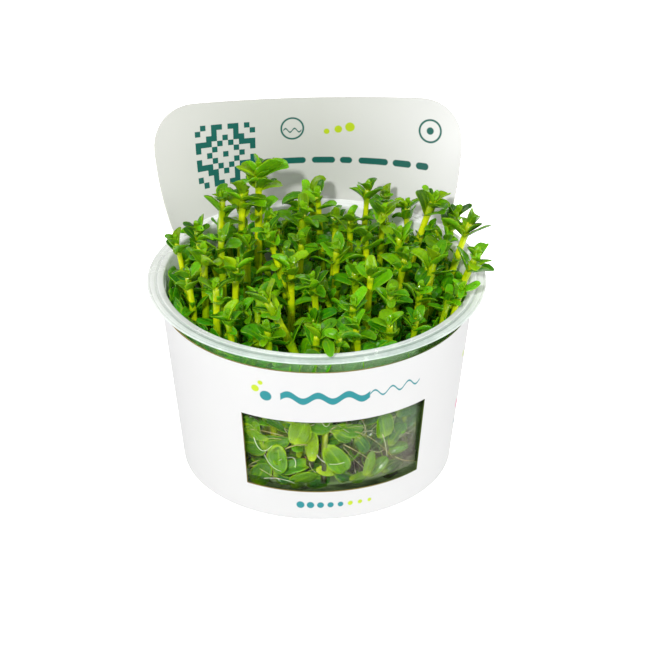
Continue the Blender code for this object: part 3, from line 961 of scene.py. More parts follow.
# Plants, in mm. The main shoots stand where their solids do
grow = {
    "stemFoot": 12.15,
    "stemHalfPerLeaf": 0.122,
    "bendAcross": 0.22,
    "bendUp": 0.55,
    "measureSteps": 20,
    "internodeLeaf": 8.0,
    "internodes": (1.4, 4.2, 8.0, 11.0),
    "riseDeg": (68.0, 54.0, 42.0, 32.0),
    "riseSpread": (-14.0, 16.0),
    "rollDeg": 34.0,
    "leafScale": (0.78, 1.0, 0.8, 0.7),
    "droopDeg": (20.0, 65.0),
    "halfWidth": 0.3,
    "halfThick": 0.34,
    "clearance": 0.22,
    "testStations": ((0.16, 0.55), (0.52, 1.0), (1.02, 0.45)),
    "slimThick": 0.16,
    "slimClearance": 0.02,
    "seed": 11,
    "trials": (
        (0, 1.0), (22, 1.0), (-22, 1.0), (0, 0.75), (38, 0.8), (-38, 0.8), (0, 0.55), (30, 0.5), (-30, 0.5),
    ),
}

# tip x, y and height, foot x and y, leaf pairs, length of the largest leaves
mainShoots = (
    (-16, 23, 83, -17, 17, 4, 9.0),
    (-21, 19, 78, -23, 13, 4, 8.5),
    (-27, 18, 77, -29, 16, 3, 8.0),
    (-35, 12, 70, -31, 8, 3, 7.0),
    (-41, 8, 68, -35, 3, 3, 6.5),
    (-28, 2, 72, -27, -1, 4, 7.5),
    (-14, 5, 72, -4, 2, 3, 8.0),
    (2, 30, 71, 4, 25, 3, 7.5),
    (17, 28, 74, 14, 25, 3, 7.0),
    (23, 33, 68, 22, 26, 3, 6.5),
    (29, 27, 68, 27, 18, 3, 7.0),
    (36, 19, 74, 22, 13, 4, 8.5),
    (43, 19, 69, 31, 12, 4, 8.5),
    (46, 8, 72, 33, 4, 3, 8.0),
    (46, -8, 69, 32, -7, 4, 8.5),
    (41, -18, 64, 33, -15, 3, 7.0),
    (-3, 20, 71, -5, 16, 3, 8.5),
    (7, 23, 67, 5, 17, 3, 7.0),
    (11, 16, 70, 10, 12, 3, 7.5),
    (15, 9, 68, 16, 3, 3, 7.5),
    (21, 18, 71, 19, 20, 3, 7.5),
    (-24, -8, 68, -25, -12, 3, 8.0),
    (-33, -2, 70, -33, -7, 3, 8.0),
    (-30, -18, 67, -30, -20, 3, 8.0),
    (-16, -28, 68, 2, -33, 3, 9.5),
    (-2, -16, 67, 1, -19, 3, 8.0),
    (-8, -9, 68, -8, -10, 3, 8.5),
    (9, -25, 64, 8, -25, 3, 8.0),
    (9, -36, 63, 12, -33, 3, 8.0),
    (20, -23, 66, 17, -24, 3, 8.0),
    (29, -19, 65, 25, -18, 3, 7.5),
    (34, -7, 69, 28, -12, 4, 9.0),
    (26, -1, 66, 20, -4, 3, 8.0),
    (-16, -36, 63, -14, -33, 3, 8.0),
    (-38, -11, 67, -34, -12, 3, 7.5),
    (-2, -38, 62, -4, -35, 3, 8.5),
    (15, -13, 67, 12, -16, 3, 8.0),
    (37, -20, 62, 30, -21, 2, 7.0),
    (6, 3, 67, 5, 0, 3, 8.5),
    (-4, 8, 67, -6, 7, 3, 8.0),
    (25, 8, 68, 23, 5, 3, 8.5),
    (-20, 7, 67, -21, 5, 3, 8.5),
    (-27, -29, 63, -23, -27, 3, 8.0),
    (19, -33, 62, 18, -31, 3, 8.0),
    (27, -29, 61, 23, -28, 2, 7.0),
)

# Smaller shoots between the main ones, and short side sprouts
young = {
    "count": 76,
    "pieces": 4,
    "attempts": 2600,
    "reach": 38.5,
    "tipReach": 41.0,
    "tipHeights": (38.0, 64.0),
    "lean": (2.0, 13.0),
    "leaf": (4.6, 8.0),
    "halfPerLeaf": (0.1, 0.17),
    "sway": 10.0,
    "seed": 29,
    "clearing": ((-15.0, -3.5), (28.0, 39.0)),
}

sprout = {
    "perShoot": 2,
    "drop": (9.0, 28.0),
    "length": (4.0, 10.0),
    "riseDeg": (35.0, 80.0),
    "leaf": (3.4, 5.6),
    "half": 0.42,
    "reach": 42.5,
    "seed": 53,
}

# Extra leaves crowded round each tip
heads = {
    "leaves": (3, 6),
    "drop": (0.8, 4.6),
    "riseDeg": (28.0, 80.0),
    "lengthShare": (0.42, 0.88),
    "seed": 83,
}

# Broad leaves on the heads that stand out: shoot, facing in degrees from +X, drop from the tip, length, rise,
# droop, roll and width
crowns = (
    (1, 150, 2.0, 9.0, 50, 40, 15, 1.1),
    (1, -60, 1.5, 9.5, 58, 30, -15, 1.15),
    (1, 20, 3.0, 9.5, 45, 45, 10, 1.1),
    (1, -130, 3.5, 9.0, 35, 50, 0, 1.1),
    (1, 70, 2.0, 9.0, 55, 25, 30, 1.1),
    (1, 100, 6.0, 8.5, 25, 60, 0, 1.1),
    (1, -10, 6.5, 9.0, 30, 50, 0, 1.1),
    (1, 200, 9.5, 8.5, 42, 55, 0, 1.1),
    (1, -100, 10.5, 9.0, 30, 60, 10, 1.1),
    (1, 30, 12.0, 9.0, 38, 70, -10, 1.1),
    (1, -40, 14.5, 8.5, 45, 60, 0, 1.1),
    (1, 150, 15.5, 8.0, 35, 50, 0, 1.0),
    (2, 160, 2.0, 8.0, 45, 40, 0, 1.1),
    (2, -95, 6.0, 8.0, 35, 50, 0, 1.1),
    (2, 60, 8.5, 8.0, 45, 45, 0, 1.0),
    (2, 190, 10.0, 8.0, 40, 55, 0, 1.1),
    (3, -70, 5.5, 7.5, 40, 45, 0, 1.1),
    (3, 20, 8.0, 7.5, 45, 50, 0, 1.0),
    (2, -40, 3.0, 8.0, 40, 40, 0, 1.1),
    (12, -70, 3.0, 8.5, 45, 40, 0, 1.1),
    (36, 170, 0.5, 8.0, 50, 30, 0, 1.1),
    (36, 10, 1.5, 8.5, 45, 35, 0, 1.1),
)

lowLeaves = {
    "pairs": 3,
    "gap": 10.5,
    "length": (5.0, 8.5),
    "riseDeg": (5.0, 60.0),
    "axilLength": (2.6, 4.6),
    "axilRiseDeg": (35.0, 75.0),
    "seed": 47,
}

# Leaves pressed flat against the cup's wall, and dark ones behind them
wallLeaves = {
    "count": 1300,
    "heights": (13.0, 57.5, 54.0),
    "tuckedFrom": 48.0,
    "windowThin": 0.72,
    "inset": (0.6, 4.5),
    "length": (4.5, 8.5),
    "seed": 97,
}

cornerSigns = ((1, 1), (-1, 1), (-1, -1), (1, -1))
upward = Vector((0.0, 0.0, 1.0))


def roundAxis(radius, angle, z):
    return Vector((radius * math.cos(angle), radius * math.sin(angle), z))


def scatter(draw, reach):
    # a radius and an angle that fall evenly over a disc
    return reach * math.sqrt(draw.random()), draw.uniform(0.0, 2.0 * math.pi)


class Stem:
    def __init__(self, foot, tip, pairs, leaf, half, sway=(0.0, 0.0)):
        self.foot = Vector(foot)
        self.tip = Vector(tip)
        lean = self.tip - self.foot
        across, up = grow["bendAcross"], grow["bendUp"]
        self.bend = self.foot + Vector((across * lean.x + sway[0], across * lean.y + sway[1], up * lean.z))
        self.pairs = pairs
        self.leaf = leaf
        self.half = half
        points = [self.at(i / grow["measureSteps"]) for i in range(grow["measureSteps"] + 1)]
        self.length = sum((b - a).length for a, b in zip(points, points[1:]))

    def at(self, share):
        back = 1.0 - share
        return back * back * self.foot + 2.0 * back * share * self.bend + share * share * self.tip

    def heading(self, share):
        step = (1.0 - share) * (self.bend - self.foot) + share * (self.tip - self.bend)
        return step.normalized()

    def frame(self, share, facing):
        up = self.heading(share)
        flat = roundAxis(1.0, facing, 0.0)
        out = (flat - up * flat.dot(up)).normalized()
        return out, up.cross(out), up

    def ring(self, share, facing, half):
        out, side, up = self.frame(share, facing)
        centre = self.at(share)
        return [centre + half * (a * out + b * side) for a, b in cornerSigns]

    def nodeShares(self):
        shares = []
        down = 0.0
        for gap in grow["internodes"][:self.pairs]:
            down += gap * self.leaf / grow["internodeLeaf"]
            shares.append(1.0 - down / self.length)
        return shares


class Leaf:
    # a blade that rises from its root along out, bows over by droop, and rolls about its own middle line
    def __init__(self, root, out, up, length, riseDeg, droopDeg, rollDeg):
        self.root = Vector(root)
        self.out = out.normalized()
        self.side = up.cross(out).normalized()
        self.up = up.normalized()
        self.length = length
        self.rise = math.radians(riseDeg)
        self.droop = math.radians(droopDeg)
        self.roll = math.radians(rollDeg)
        self.width = 1.0

    def centre(self, share):
        steps = 6
        point = self.root.copy()
        for i in range(steps):
            angle = self.rise - self.droop * share * (i + 0.5) / steps
            point += (self.out * math.cos(angle) + self.up * math.sin(angle)) * (self.length * share / steps)
        return point

    def axes(self, share, twist=0.0):
        angle = self.rise - self.droop * share
        upright = self.up * math.cos(angle) - self.out * math.sin(angle)
        roll = self.roll + twist * share
        side = self.side * math.cos(roll) + upright * math.sin(roll)
        return side, upright * math.cos(roll) - self.side * math.sin(roll)

    def testBlock(self, thick, clearance):
        points = []
        for station, width in grow["testStations"]:
            half = self.length * grow["halfWidth"] * width + clearance
            centre = self.centre(station)
            side, normal = self.axes(station)
            points += [centre + a * half * side + b * thick * normal for a, b in cornerSigns]
        return blockOf(points)


def blockOf(points):
    rings = len(points) // 4
    faces = [(0, 1, 2, 3), tuple(range(4 * rings - 4, 4 * rings))]
    for ring in range(rings - 1):
        for i in range(4):
            j = (i + 1) % 4
            faces.append((4 * ring + i, 4 * ring + j, 4 * ring + 4 + j, 4 * ring + 4 + i))
    centre = sum(points, Vector()) / len(points)
    reach = max((point - centre).length for point in points)
    return BVHTree.FromPolygons(points, faces), centre, reach


def touches(block, others):
    tree, centre, reach = block
    for other, otherCentre, otherReach in others:
        if (centre - otherCentre).length < reach + otherReach and tree.overlap(other):
            return True
    return False


class Crowd:
    # leaves already placed, filed by where they stand, so that a new one is only tried on its neighbours
    cell = 6.0
    largest = 6.5

    def __init__(self):
        self.filed = {}

    def add(self, block):
        key = tuple(math.floor(c / self.cell) for c in block[1])
        self.filed.setdefault(key, []).append(block)

    def touches(self, block):
        reach = block[2] + self.largest
        spans = []
        for c in block[1]:
            spans.append(range(math.floor((c - reach) / self.cell), math.floor((c + reach) / self.cell) + 1))
        return any(touches(block, self.filed.get(key, ())) for key in itertools.product(*spans))


def stemBlock(stem, facing):
    points = []
    for i in range(9):
        points += stem.ring(i / 8.0, facing, stem.half + grow["clearance"])
    return blockOf(points)


def holderBlock(name):
    mesh = nodes[name].data
    points = [vert.co / mm for vert in mesh.vertices]
    tree = BVHTree.FromPolygons(points, [tuple(face.vertices) for face in mesh.polygons])
    return tree, Vector((0.0, 0.0, 0.0)), 1000.0


class Shoot:
    # a stem with the way it faces, its leaves and where along it they sit
    def __init__(self, stem, facing):
        self.stem = stem
        self.facing = facing
        self.block = stemBlock(stem, facing)
        self.leaves = []
        self.shares = []


longestLeaf = 11.0
solidTest = (grow["halfThick"] + grow["clearance"], grow["clearance"])
slimTest = (grow["slimThick"], grow["slimClearance"])


def addLeaf(shoot, share, facing, length, rise, droop, roll, blocks, crowd, test=slimTest):
    # the first trial that touches nothing is kept
    stem = shoot.stem
    out, side, up = stem.frame(share, facing)
    for yawDeg, scale in grow["trials"]:
        yaw = math.radians(yawDeg)
        root = stem.at(share) + out * stem.half
        leaf = Leaf(root, out * math.cos(yaw) + side * math.sin(yaw), up, length * scale, rise, droop, roll)
        block = leaf.testBlock(*test)
        if touches(block, blocks) or crowd.touches(block):
            continue
        crowd.add(block)
        shoot.leaves.append(leaf)
        shoot.shares.append(share)
        return


def planMainShoots(holders, crowd):
    draw = random.Random(grow["seed"])
    facings = [draw.uniform(0.0, math.pi / 2) for row in mainShoots]
    shoots = []
    for (tipX, tipY, tipZ, footX, footY, pairs, leaf), facing in zip(mainShoots, facings):
        foot = (footX, footY, grow["stemFoot"])
        stem = Stem(foot, (tipX, tipY, tipZ), pairs, leaf, grow["stemHalfPerLeaf"] * leaf)
        shoots.append(Shoot(stem, facing))
    draw = random.Random(grow["seed"])
    for shoot in shoots:
        blocks = holders + [other.block for other in shoots if other is not shoot]
        for pair, share in enumerate(shoot.stem.nodeShares()):
            for half in (0, 2):
                length = shoot.stem.leaf * grow["leafScale"][pair] * draw.uniform(0.85, 1.1)
                rise = grow["riseDeg"][pair] + draw.uniform(*grow["riseSpread"])
                droop = draw.uniform(*grow["droopDeg"])
                roll = draw.uniform(-grow["rollDeg"], grow["rollDeg"]) * math.cos(math.radians(rise))
                facing = shoot.facing + (half + pair % 2) * math.pi / 2
                addLeaf(shoot, share, facing, length, rise, droop, roll, blocks, crowd, solidTest)
    return shoots


def inClearing(point):
    (lowX, highX), (lowY, highY) = young["clearing"]
    return lowX < point.x < highX and lowY < point.y < highY


def addLeafPairs(shoot, shares, lengths, rises, draw, blocks, crowd, quarter=0.0):
    for pair, share in enumerate(shares):
        if share < 0.03:
            continue
        for half in (0, 2):
            facing = shoot.facing + (half + pair % 2 + quarter) * math.pi / 2 + draw.uniform(-0.25, 0.25)
            rise = draw.uniform(*rises)
            roll = draw.uniform(-50.0, 50.0) * math.cos(math.radians(rise))
            length, droop = draw.uniform(*lengths), draw.uniform(5, 80)
            addLeaf(shoot, share, facing, length, rise, droop, roll, blocks, crowd)


def planYoungShoots(shoots, holders, crowd):
    # feet scattered over the gel, each shoot leaning and swaying its own way
    draw = random.Random(young["seed"])
    grown = []
    for attempt in range(young["attempts"]):
        radius, angle = scatter(draw, young["reach"])
        foot = roundAxis(radius, angle, grow["stemFoot"])
        lean, leanAngle = draw.uniform(*young["lean"]), draw.uniform(0.0, 2.0 * math.pi)
        tip = foot + roundAxis(lean, leanAngle, 0.0)
        tip *= min(1.0, young["tipReach"] / max(tip.xy.length, 1.0))
        tip.z = draw.uniform(*young["tipHeights"]) + 0.14 * max(tip.y, 0.0)
        leaf = draw.uniform(*young["leaf"])
        sway = (draw.uniform(-1.0, 1.0) * young["sway"], draw.uniform(-1.0, 1.0) * young["sway"])
        stem = Stem(foot, tip, 3, leaf, draw.uniform(*young["halfPerLeaf"]) * leaf, sway)
        shoot = Shoot(stem, draw.uniform(0.0, math.pi / 2))
        taken = holders + [other.block for other in shoots + grown]
        if touches(shoot.block, taken) or crowd.touches(shoot.block):
            continue
        if any(inClearing(stem.at(i / 10.0)) for i in range(11)):
            continue
        grown.append(shoot)
        if len(grown) == young["count"]:
            break
    return grown


def planSprouts(parents, holders, crowd):
    draw = random.Random(sprout["seed"])
    grown = []
    for parent in parents:
        for number in range(sprout["perShoot"]):
            share = 1.0 - draw.uniform(*sprout["drop"]) / parent.stem.length
            out, side, up = parent.stem.frame(share, draw.uniform(0.0, 2.0 * math.pi))
            rise = math.radians(draw.uniform(*sprout["riseDeg"]))
            foot = parent.stem.at(share) + out * 0.6 * parent.stem.half
            tip = foot + (out * math.cos(rise) + up * math.sin(rise)) * draw.uniform(*sprout["length"])
            stem = Stem(foot, tip, 2, draw.uniform(*sprout["leaf"]), sprout["half"])
            shoot = Shoot(stem, draw.uniform(0.0, math.pi / 2))
            taken = holders + [other.block for other in parents + grown if other is not parent]
            if tip.xy.length > sprout["reach"] or inClearing(tip):
                continue
            if touches(shoot.block, taken) or crowd.touches(shoot.block):
                continue
            grown.append(shoot)
    return grown


def addHeads(shoots, near, crowd):
    # small upright leaves crowded round the tips, between the pairs
    draw = random.Random(heads["seed"])
    for shoot in shoots:
        for number in range(draw.randint(*heads["leaves"])):
            share = 1.0 - draw.uniform(*heads["drop"]) / shoot.stem.length
            rise = draw.uniform(*heads["riseDeg"])
            length = shoot.stem.leaf * draw.uniform(*heads["lengthShare"])
            roll = draw.uniform(-40.0, 40.0) * math.cos(math.radians(rise))
            facing = draw.uniform(0.0, 2.0 * math.pi)
            addLeaf(shoot, share, facing, length, rise, draw.uniform(-10, 60), roll, near(shoot), crowd)


def planPlants():
    holders = [holderBlock("cup"), holderBlock("sleeve")]
    crowd = Crowd()
    mains = planMainShoots(holders, crowd)
    print("main shoots planned:", len(mains), "with", sum(len(shoot.leaves) for shoot in mains), "leaves")
    youngs = planYoungShoots(mains, holders, crowd)
    sprouts = planSprouts(mains + youngs, holders, crowd)
    everyShoot = mains + youngs + sprouts

    def near(shoot):
        # the stems that a leaf of this shoot could reach
        centre, reach = shoot.block[1:]
        close = []
        for other in everyShoot:
            otherCentre, otherReach = other.block[1:]
            if other is not shoot and (otherCentre - centre).length < otherReach + reach + longestLeaf:
                close.append(other.block)
        return holders + close

    draw = random.Random(lowLeaves["seed"])
    for shoot in youngs + sprouts + mains:
        blocks = near(shoot)
        tops = shoot.stem.nodeShares()
        if shoot in mains:
            axils = [share + 0.012 for share in tops[:3]]
            lengths, rises = lowLeaves["axilLength"], lowLeaves["axilRiseDeg"]
            addLeafPairs(shoot, axils, lengths, rises, draw, blocks, crowd, 0.5)
            length = shoot.stem.length
            lower = [tops[-1] - lowLeaves["gap"] * (i + 1) / length for i in range(lowLeaves["pairs"])]
            addLeafPairs(shoot, lower, lowLeaves["length"], lowLeaves["riseDeg"], draw, blocks, crowd)
        else:
            leaf = shoot.stem.leaf
            addLeafPairs(shoot, tops, (0.75 * leaf, 1.1 * leaf), (35.0, 85.0), draw, blocks, crowd)
    for number, facingDeg, drop, length, rise, droop, roll, width in crowns:
        shoot = mains[number - 1]
        share = 1.0 - drop / shoot.stem.length
        addLeaf(shoot, share, math.radians(facingDeg), length, rise, droop, roll, near(shoot), crowd)
        shoot.leaves[-1].width = width
    addHeads(mains + youngs, near, crowd)
    return mains, youngs, sprouts, crowd, holders


# Templates that are bent into leaves, stems and roots
def leafTemplate():
    # a ball with its poles at the blade's base and tip: x across, y along, z through
    bm = bmesh.new()
    bmesh.ops.create_uvsphere(bm, u_segments=8, v_segments=8, radius=1.0)
    bmesh.ops.rotate(bm, verts=bm.verts[:], cent=(0, 0, 0), matrix=Matrix.Rotation(math.pi / 2, 3, "X"))
    return meshFrom(bm, "leafTemplate")


def rodTemplate(cuts, sides):
    bm = bmesh.new()
    bmesh.ops.create_cone(bm, cap_ends=True, segments=sides, radius1=1.0, radius2=1.0, depth=2.0)
    upright = [edge for edge in bm.edges if abs(edge.verts[0].co.z - edge.verts[1].co.z) > 1.0]
    bmesh.ops.subdivide_edges(bm, edges=upright, cuts=cuts, use_grid_fill=True)
    return meshFrom(bm, "rodTemplate")


def dropTemplate():
    bm = bmesh.new()
    bmesh.ops.create_uvsphere(bm, u_segments=8, v_segments=5, radius=1.0)
    return meshFrom(bm, "dropTemplate")


templates = {
    "leaf": leafTemplate(),
    "stem": rodTemplate(26, 10),
    "sprout": rodTemplate(5, 6),
    "root": rodTemplate(14, 5),
    "drop": dropTemplate(),
}

slots = {"stem": 0, "leaf": 1, "root": 2}


def copyTemplate(bm, name, slotIndex):
    firstVert, firstFace = len(bm.verts), len(bm.faces)
    bm.from_mesh(templates[name])
    bm.verts.ensure_lookup_table()
    bm.faces.ensure_lookup_table()
    for face in bm.faces[firstFace:]:
        face.material_index = slotIndex
    return bm.verts[firstVert:], bm.faces[firstFace:]


blade = {
    "foldDeg": (4.0, 42.0),
    "twist": 0.6,
    "ovate": (-0.35, 0.45),
    "width": (0.9, 1.22),
    "blunt": -0.24,
    "wave": (0.0, 0.45),
    "cup": (-0.6, 1.2),
    "clasp": 0.9,
}

bud = {"turn": 0.7, "sink": 0.3, "lengthShare": 0.42, "riseDeg": 78.0, "droopDeg": 10.0}


def drawLeaf(bm, leaf, tint, draw):
    # tint is the tone, the share of yellow and the share of brown
    uvLayer, tintLayer = bm.loops.layers.uv["blade"], bm.verts.layers.float_color["tint"]
    verts, faces = copyTemplate(bm, "leaf", slots["leaf"])
    fold = math.radians(draw.uniform(*blade["foldDeg"]))
    twist = draw.uniform(-1.0, 1.0) * blade["twist"]
    ovate = draw.uniform(*blade["ovate"])
    wave = draw.uniform(*blade["wave"])
    cupped = draw.uniform(*blade["cup"])
    phase = draw.uniform(0.0, 6.3)
    fullHalf = leaf.length * grow["halfWidth"] * leaf.width * draw.uniform(*blade["width"])
    rings = {}
    flat = {}
    for vert in verts:
        x, y, z = vert.co
        along = 0.5 * (y + 1.0)
        key = round(along, 4)
        if key not in rings:
            clasp = blade["clasp"] * (1.0 - along) ** 2
            rings[key] = (leaf.centre(along) - leaf.out * clasp, *leaf.axes(along, twist))
        place, side, normal = rings[key]
        ring = math.sqrt(max(1.0 - y * y, 0.0001))
        reach = x * fullHalf * (1.0 + ovate * (0.5 - along)) * ring ** blade["blunt"]
        across = reach * math.cos(fold)
        lift = math.sin(fold) * (math.sqrt(reach * reach + 0.16) - 0.4)
        lift += cupped * math.sin(math.pi * along) * (reach / fullHalf) ** 2
        lift += wave * math.sin(6.0 * along + phase + (1.5 if x > 0 else 0.0)) * (x / ring) ** 2 * ring
        groove = -0.14 * math.exp(-(across / 0.4) ** 2) * (1.0 - along) if z > 0 else 0.0
        through = z * grow["halfThick"] * (1.0 - 0.3 * along) + lift + groove
        vert.co = (place + across * side + through * normal) * mm
        vert[tintLayer] = (*tint, 1.0 if z < 0.0 else 0.0)
        flat[vert] = (0.5 + 0.5 * x / ring, along)
    for face in faces:
        for loop in face.loops:
            loop[uvLayer].uv = flat[loop.vert]


def drawRod(bm, name, slotIndex, stem, facing, halfAt, tintAt):
    tintLayer = bm.verts.layers.float_color["tint"]
    verts, faces = copyTemplate(bm, name, slotIndex)
    frames = {}
    for vert in verts:
        share = 0.5 * (vert.co.z + 1.0)
        key = round(share, 4)
        if key not in frames:
            frames[key] = (stem.at(share), *stem.frame(share, facing)[:2], halfAt(share), tintAt(share))
        place, out, side, half, tint = frames[key]
        vert.co = (place + half * (vert.co.x * out + vert.co.y * side)) * mm
        vert[tintLayer] = tint


def drawShoot(bm, shoot, draw, template="stem"):
    stem = shoot.stem
    tone = draw.uniform(0.45, 1.0)
    old = 1.0 if template == "stem" else 0.0
    joints = sorted(set(shoot.shares))
    jointWidth = 0.9 / stem.length

    def swell(share):
        return max([math.exp(-((share - joint) / jointWidth) ** 2) for joint in joints] + [0.0])

    def halfAt(share):
        return stem.half * 1.15 * (1.0 + 0.2 * swell(share)) * (1.0 - 0.3 * share ** 4)

    def tintAt(share):
        # painted shade: each stem is darker towards its foot, deep in the cup
        toneWithPaintedShade = tone * (0.2 + 0.8 * min(1.0, 1.5 * share))
        return toneWithPaintedShade, 0.7 * swell(share), old * max(0.0, 1.25 - 2.6 * share), 1.0

    drawRod(bm, template, slots["stem"], stem, shoot.facing, halfAt, tintAt)
    up = stem.heading(1.0)
    for half in (0, 2):
        out = stem.frame(0.99, shoot.facing + half * math.pi / 2 + bud["turn"])[0]
        root = stem.tip - up * bud["sink"]
        leaf = Leaf(root, out, up, bud["lengthShare"] * stem.leaf, bud["riseDeg"], bud["droopDeg"], 0.0)
        drawLeaf(bm, leaf, (draw.uniform(0.5, 0.9), 0.2, 0.0), draw)
    for leaf, share in zip(shoot.leaves, shoot.shares):
        # painted shade: leaves low on a stem are drawn darker, deep in the cup
        tone = draw.random() * (0.4 + 0.6 * share)
        drawLeaf(bm, leaf, (tone, 0.6 * draw.random() ** 5, 0.0), draw)


def newPlantMesh():
    bm = bmesh.new()
    bm.loops.layers.uv.new("blade")
    bm.verts.layers.float_color.new("tint")
    return bm


def growPiece(name, shoots, draw, template="stem", replaced=()):
    bm = newPlantMesh()
    for shoot in shoots:
        drawShoot(bm, shoot, draw, template)
    return addPiece(name, bm, ("stem", "leaf"), replaced)


# Low growth that shows through the window: degrees round the wall from the front, height, lean of the blade
# in degrees from upright, length, width share, curl of the tip towards the wall, tone and yellow share
windowLeaves = (
    (5.1, 20.7, 148, 10.4, 1.25, 38, 0.75, 0.2),
    (-21.0, 26.0, 68, 9.2, 1.25, 30, 0.75, 0.1),
    (-19.4, 19.6, 174, 9.0, 1.2, 50, 0.8, 0.15),
    (-31.5, 23.2, 80, 9.0, 1.5, 20, 0.7, 0.1),
    (-29.6, 29.4, 35, 5.0, 1.2, 30, 0.95, 0.35),
    (-31.5, 28.2, 120, 5.0, 1.2, 30, 0.9, 0.3),
    (-28.0, 28.0, -60, 5.0, 1.2, 30, 0.9, 0.3),
    (-34.0, 31.0, 60, 5.0, 1.3, 30, 0.7, 0.1),
    (-28.0, 13.6, 25, 8.4, 1.3, 20, 0.6, 0.1),
    (-8.6, 13.4, 60, 8.2, 1.1, 30, 0.75, 0.2),
    (1.4, 16.4, 100, 5.0, 1.1, 10, 1.0, 0.9),
    (-9.5, 31.0, 24, 8.8, 1.2, 20, 0.5, 0.5),
    (-2.0, 33.6, 100, 7.6, 1.3, 20, 0.6, 0.1),
    (11.7, 30.8, 100, 7.0, 1.3, 30, 0.75, 0.1),
    (5.6, 32.2, 75, 5.6, 1.0, 30, 0.9, 0.2),
    (7.9, 28.6, 130, 5.4, 1.0, 30, 0.6, 0.1),
    (19.4, 18.1, 10, 8.2, 0.8, 30, 0.9, 0.3),
    (24.7, 15.1, 62, 8.0, 1.0, 45, 0.7, 0.1),
    (16.0, 13.0, 75, 5.0, 1.0, 20, 0.8, 0.3),
    (24.3, 31.3, -10, 8.2, 1.4, 20, 0.45, 0.2),
    (-5.0, 26.0, 3, 9.5, 0.6, 10, 0.5, 0.7),
    (-17.0, 13.5, 110, 6.0, 1.2, 20, 0.1, 0.0),
    (-2.5, 12.8, 95, 7.0, 1.2, 20, 0.15, 0.0),
    (9.0, 14.6, 120, 6.5, 1.2, 20, 0.1, 0.0),
    (33.0, 14.0, 80, 7.5, 1.3, 20, 0.15, 0.0),
    (33.0, 25.0, 40, 7.0, 1.2, 20, 0.2, 0.0),
    (39.0, 32.0, 100, 8.0, 1.2, 20, 0.3, 0.0),
    (-14.0, 35.0, 60, 7.0, 1.1, 20, 0.5, 0.0),
    (-21.0, 33.0, 120, 7.0, 1.1, 20, 0.35, 0.0),
    (16.0, 25.0, 150, 6.0, 1.1, 20, 0.2, 0.0),
    # painted shade: these three nearly black leaves past the window's right edge stand for the shade seen
    # there
    (47.0, 15.0, 4, 9.0, 0.9, 10, 0.0, 0.0),
    (47.5, 23.0, -4, 9.5, 0.9, 10, 0.05, 0.0),
    (47.5, 31.0, 2, 9.0, 0.9, 10, 0.05, 0.0),
    (-38.0, 17.0, 3, 9.0, 0.8, 10, 0.0, 0.0),
)

# Each root: places as degrees round the wall and height, and its age, from white to brown
windowRoots = (
    ((-29.3, 27.0), (-27.0, 19.5), (-21.5, 25.5), 0.0),
    ((-25.0, 21.5), (-22.5, 16.5), (-17.5, 16.5), 0.0),
    ((-3.2, 23.5), (0.5, 18.2), (8.2, 20.2), 0.1),
    ((-26.0, 12.6), (-19.5, 14.4), (-12.5, 12.6), 0.1),
    ((7.5, 26.8), (13.0, 24.0), (18.5, 20.0), 0.9),
    ((24.0, 28.0), (26.0, 24.0), (27.0, 19.0), 0.5),
    ((12.0, 31.0), (20.0, 28.5), (31.0, 17.0), 1.0),
    ((31.0, 18.0), (36.0, 14.5), (44.0, 12.6), 0.9),
    ((-1.5, 36.0), (0.5, 31.5), (2.5, 36.0), 0.0),
    ((-16.0, 25.0), (-11.0, 27.5), (-7.0, 27.0), 0.9),
)

litter = {
    "leaves": 170,
    "leafReach": 37.5,
    "leafHeights": (9.5, 17.5),
    "roots": 60,
    "rootReach": 36.0,
    "rootHeights": (12.6, 17.0),
    "rootHalf": (0.12, 0.3),
    "strands": 34,
    "strandHalf": (0.09, 0.2),
    "strandInset": (0.7, 3.5),
    "wallInset": (0.9, 1.8),
    "thatch": 420,
    "thatchArcDeg": (-60.0, 70.0),
    "thatchHeights": (11.0, 40.0),
    "thatchInset": (4.0, 13.0),
    "seed": 61,
}


def wallPlace(degrees, z, inset):
    turnBy = math.radians(degrees)
    radius = cupInner(z) - inset
    return Vector((radius * math.sin(turnBy), -radius * math.cos(turnBy), z))


def wallLeaf(degrees, z, leanDeg, length, inset, tiltDeg, rollDeg, curlDeg=20.0):
    # a blade whose middle lies this far in from the wall, facing out
    turnBy, leanBy = math.radians(degrees), math.radians(leanDeg)
    outward = Vector((math.sin(turnBy), -math.cos(turnBy), 0.0))
    along = roundAxis(1.0, turnBy, 0.0) * math.sin(leanBy) + upward * math.cos(leanBy)
    middle = wallPlace(degrees, z, inset + 0.2 * length * abs(math.sin(leanBy)) ** 2)
    return Leaf(middle - 0.5 * length * along, along, outward, length, tiltDeg, -curlDeg, rollDeg)


rimLeaf = {
    "root": (0.6, -42.0, 62.0),
    "facingDeg": -84.0,
    "length": 7.2,
    "rise": 5.0,
    "droop": 25.0,
    "width": 0.7,
    "tint": (0.45, 0.1, 0.0),
}


def drawRimLeaf(bm):
    # the one leaf that hangs over the front of the rim
    out = roundAxis(1.0, math.radians(rimLeaf["facingDeg"]), 0.0)
    leaf = Leaf(rimLeaf["root"], out, upward, rimLeaf["length"], rimLeaf["rise"], rimLeaf["droop"], 0.0)
    leaf.width = rimLeaf["width"]
    drawLeaf(bm, leaf, rimLeaf["tint"], random.Random(1))


def drawWindowLeaves(bm, crowd, draw):
    for degrees, z, lean, length, width, curl, tone, yellow in windowLeaves:
        inset = draw.uniform(*litter["wallInset"])
        leaf = wallLeaf(degrees, z, lean, length, inset, -0.4 * curl, draw.uniform(-10.0, 10.0), curl)
        leaf.width = width
        crowd.add(leaf.testBlock(*slimTest))
        drawLeaf(bm, leaf, (0.26 * tone, 0.5 * yellow, 0.0), draw)


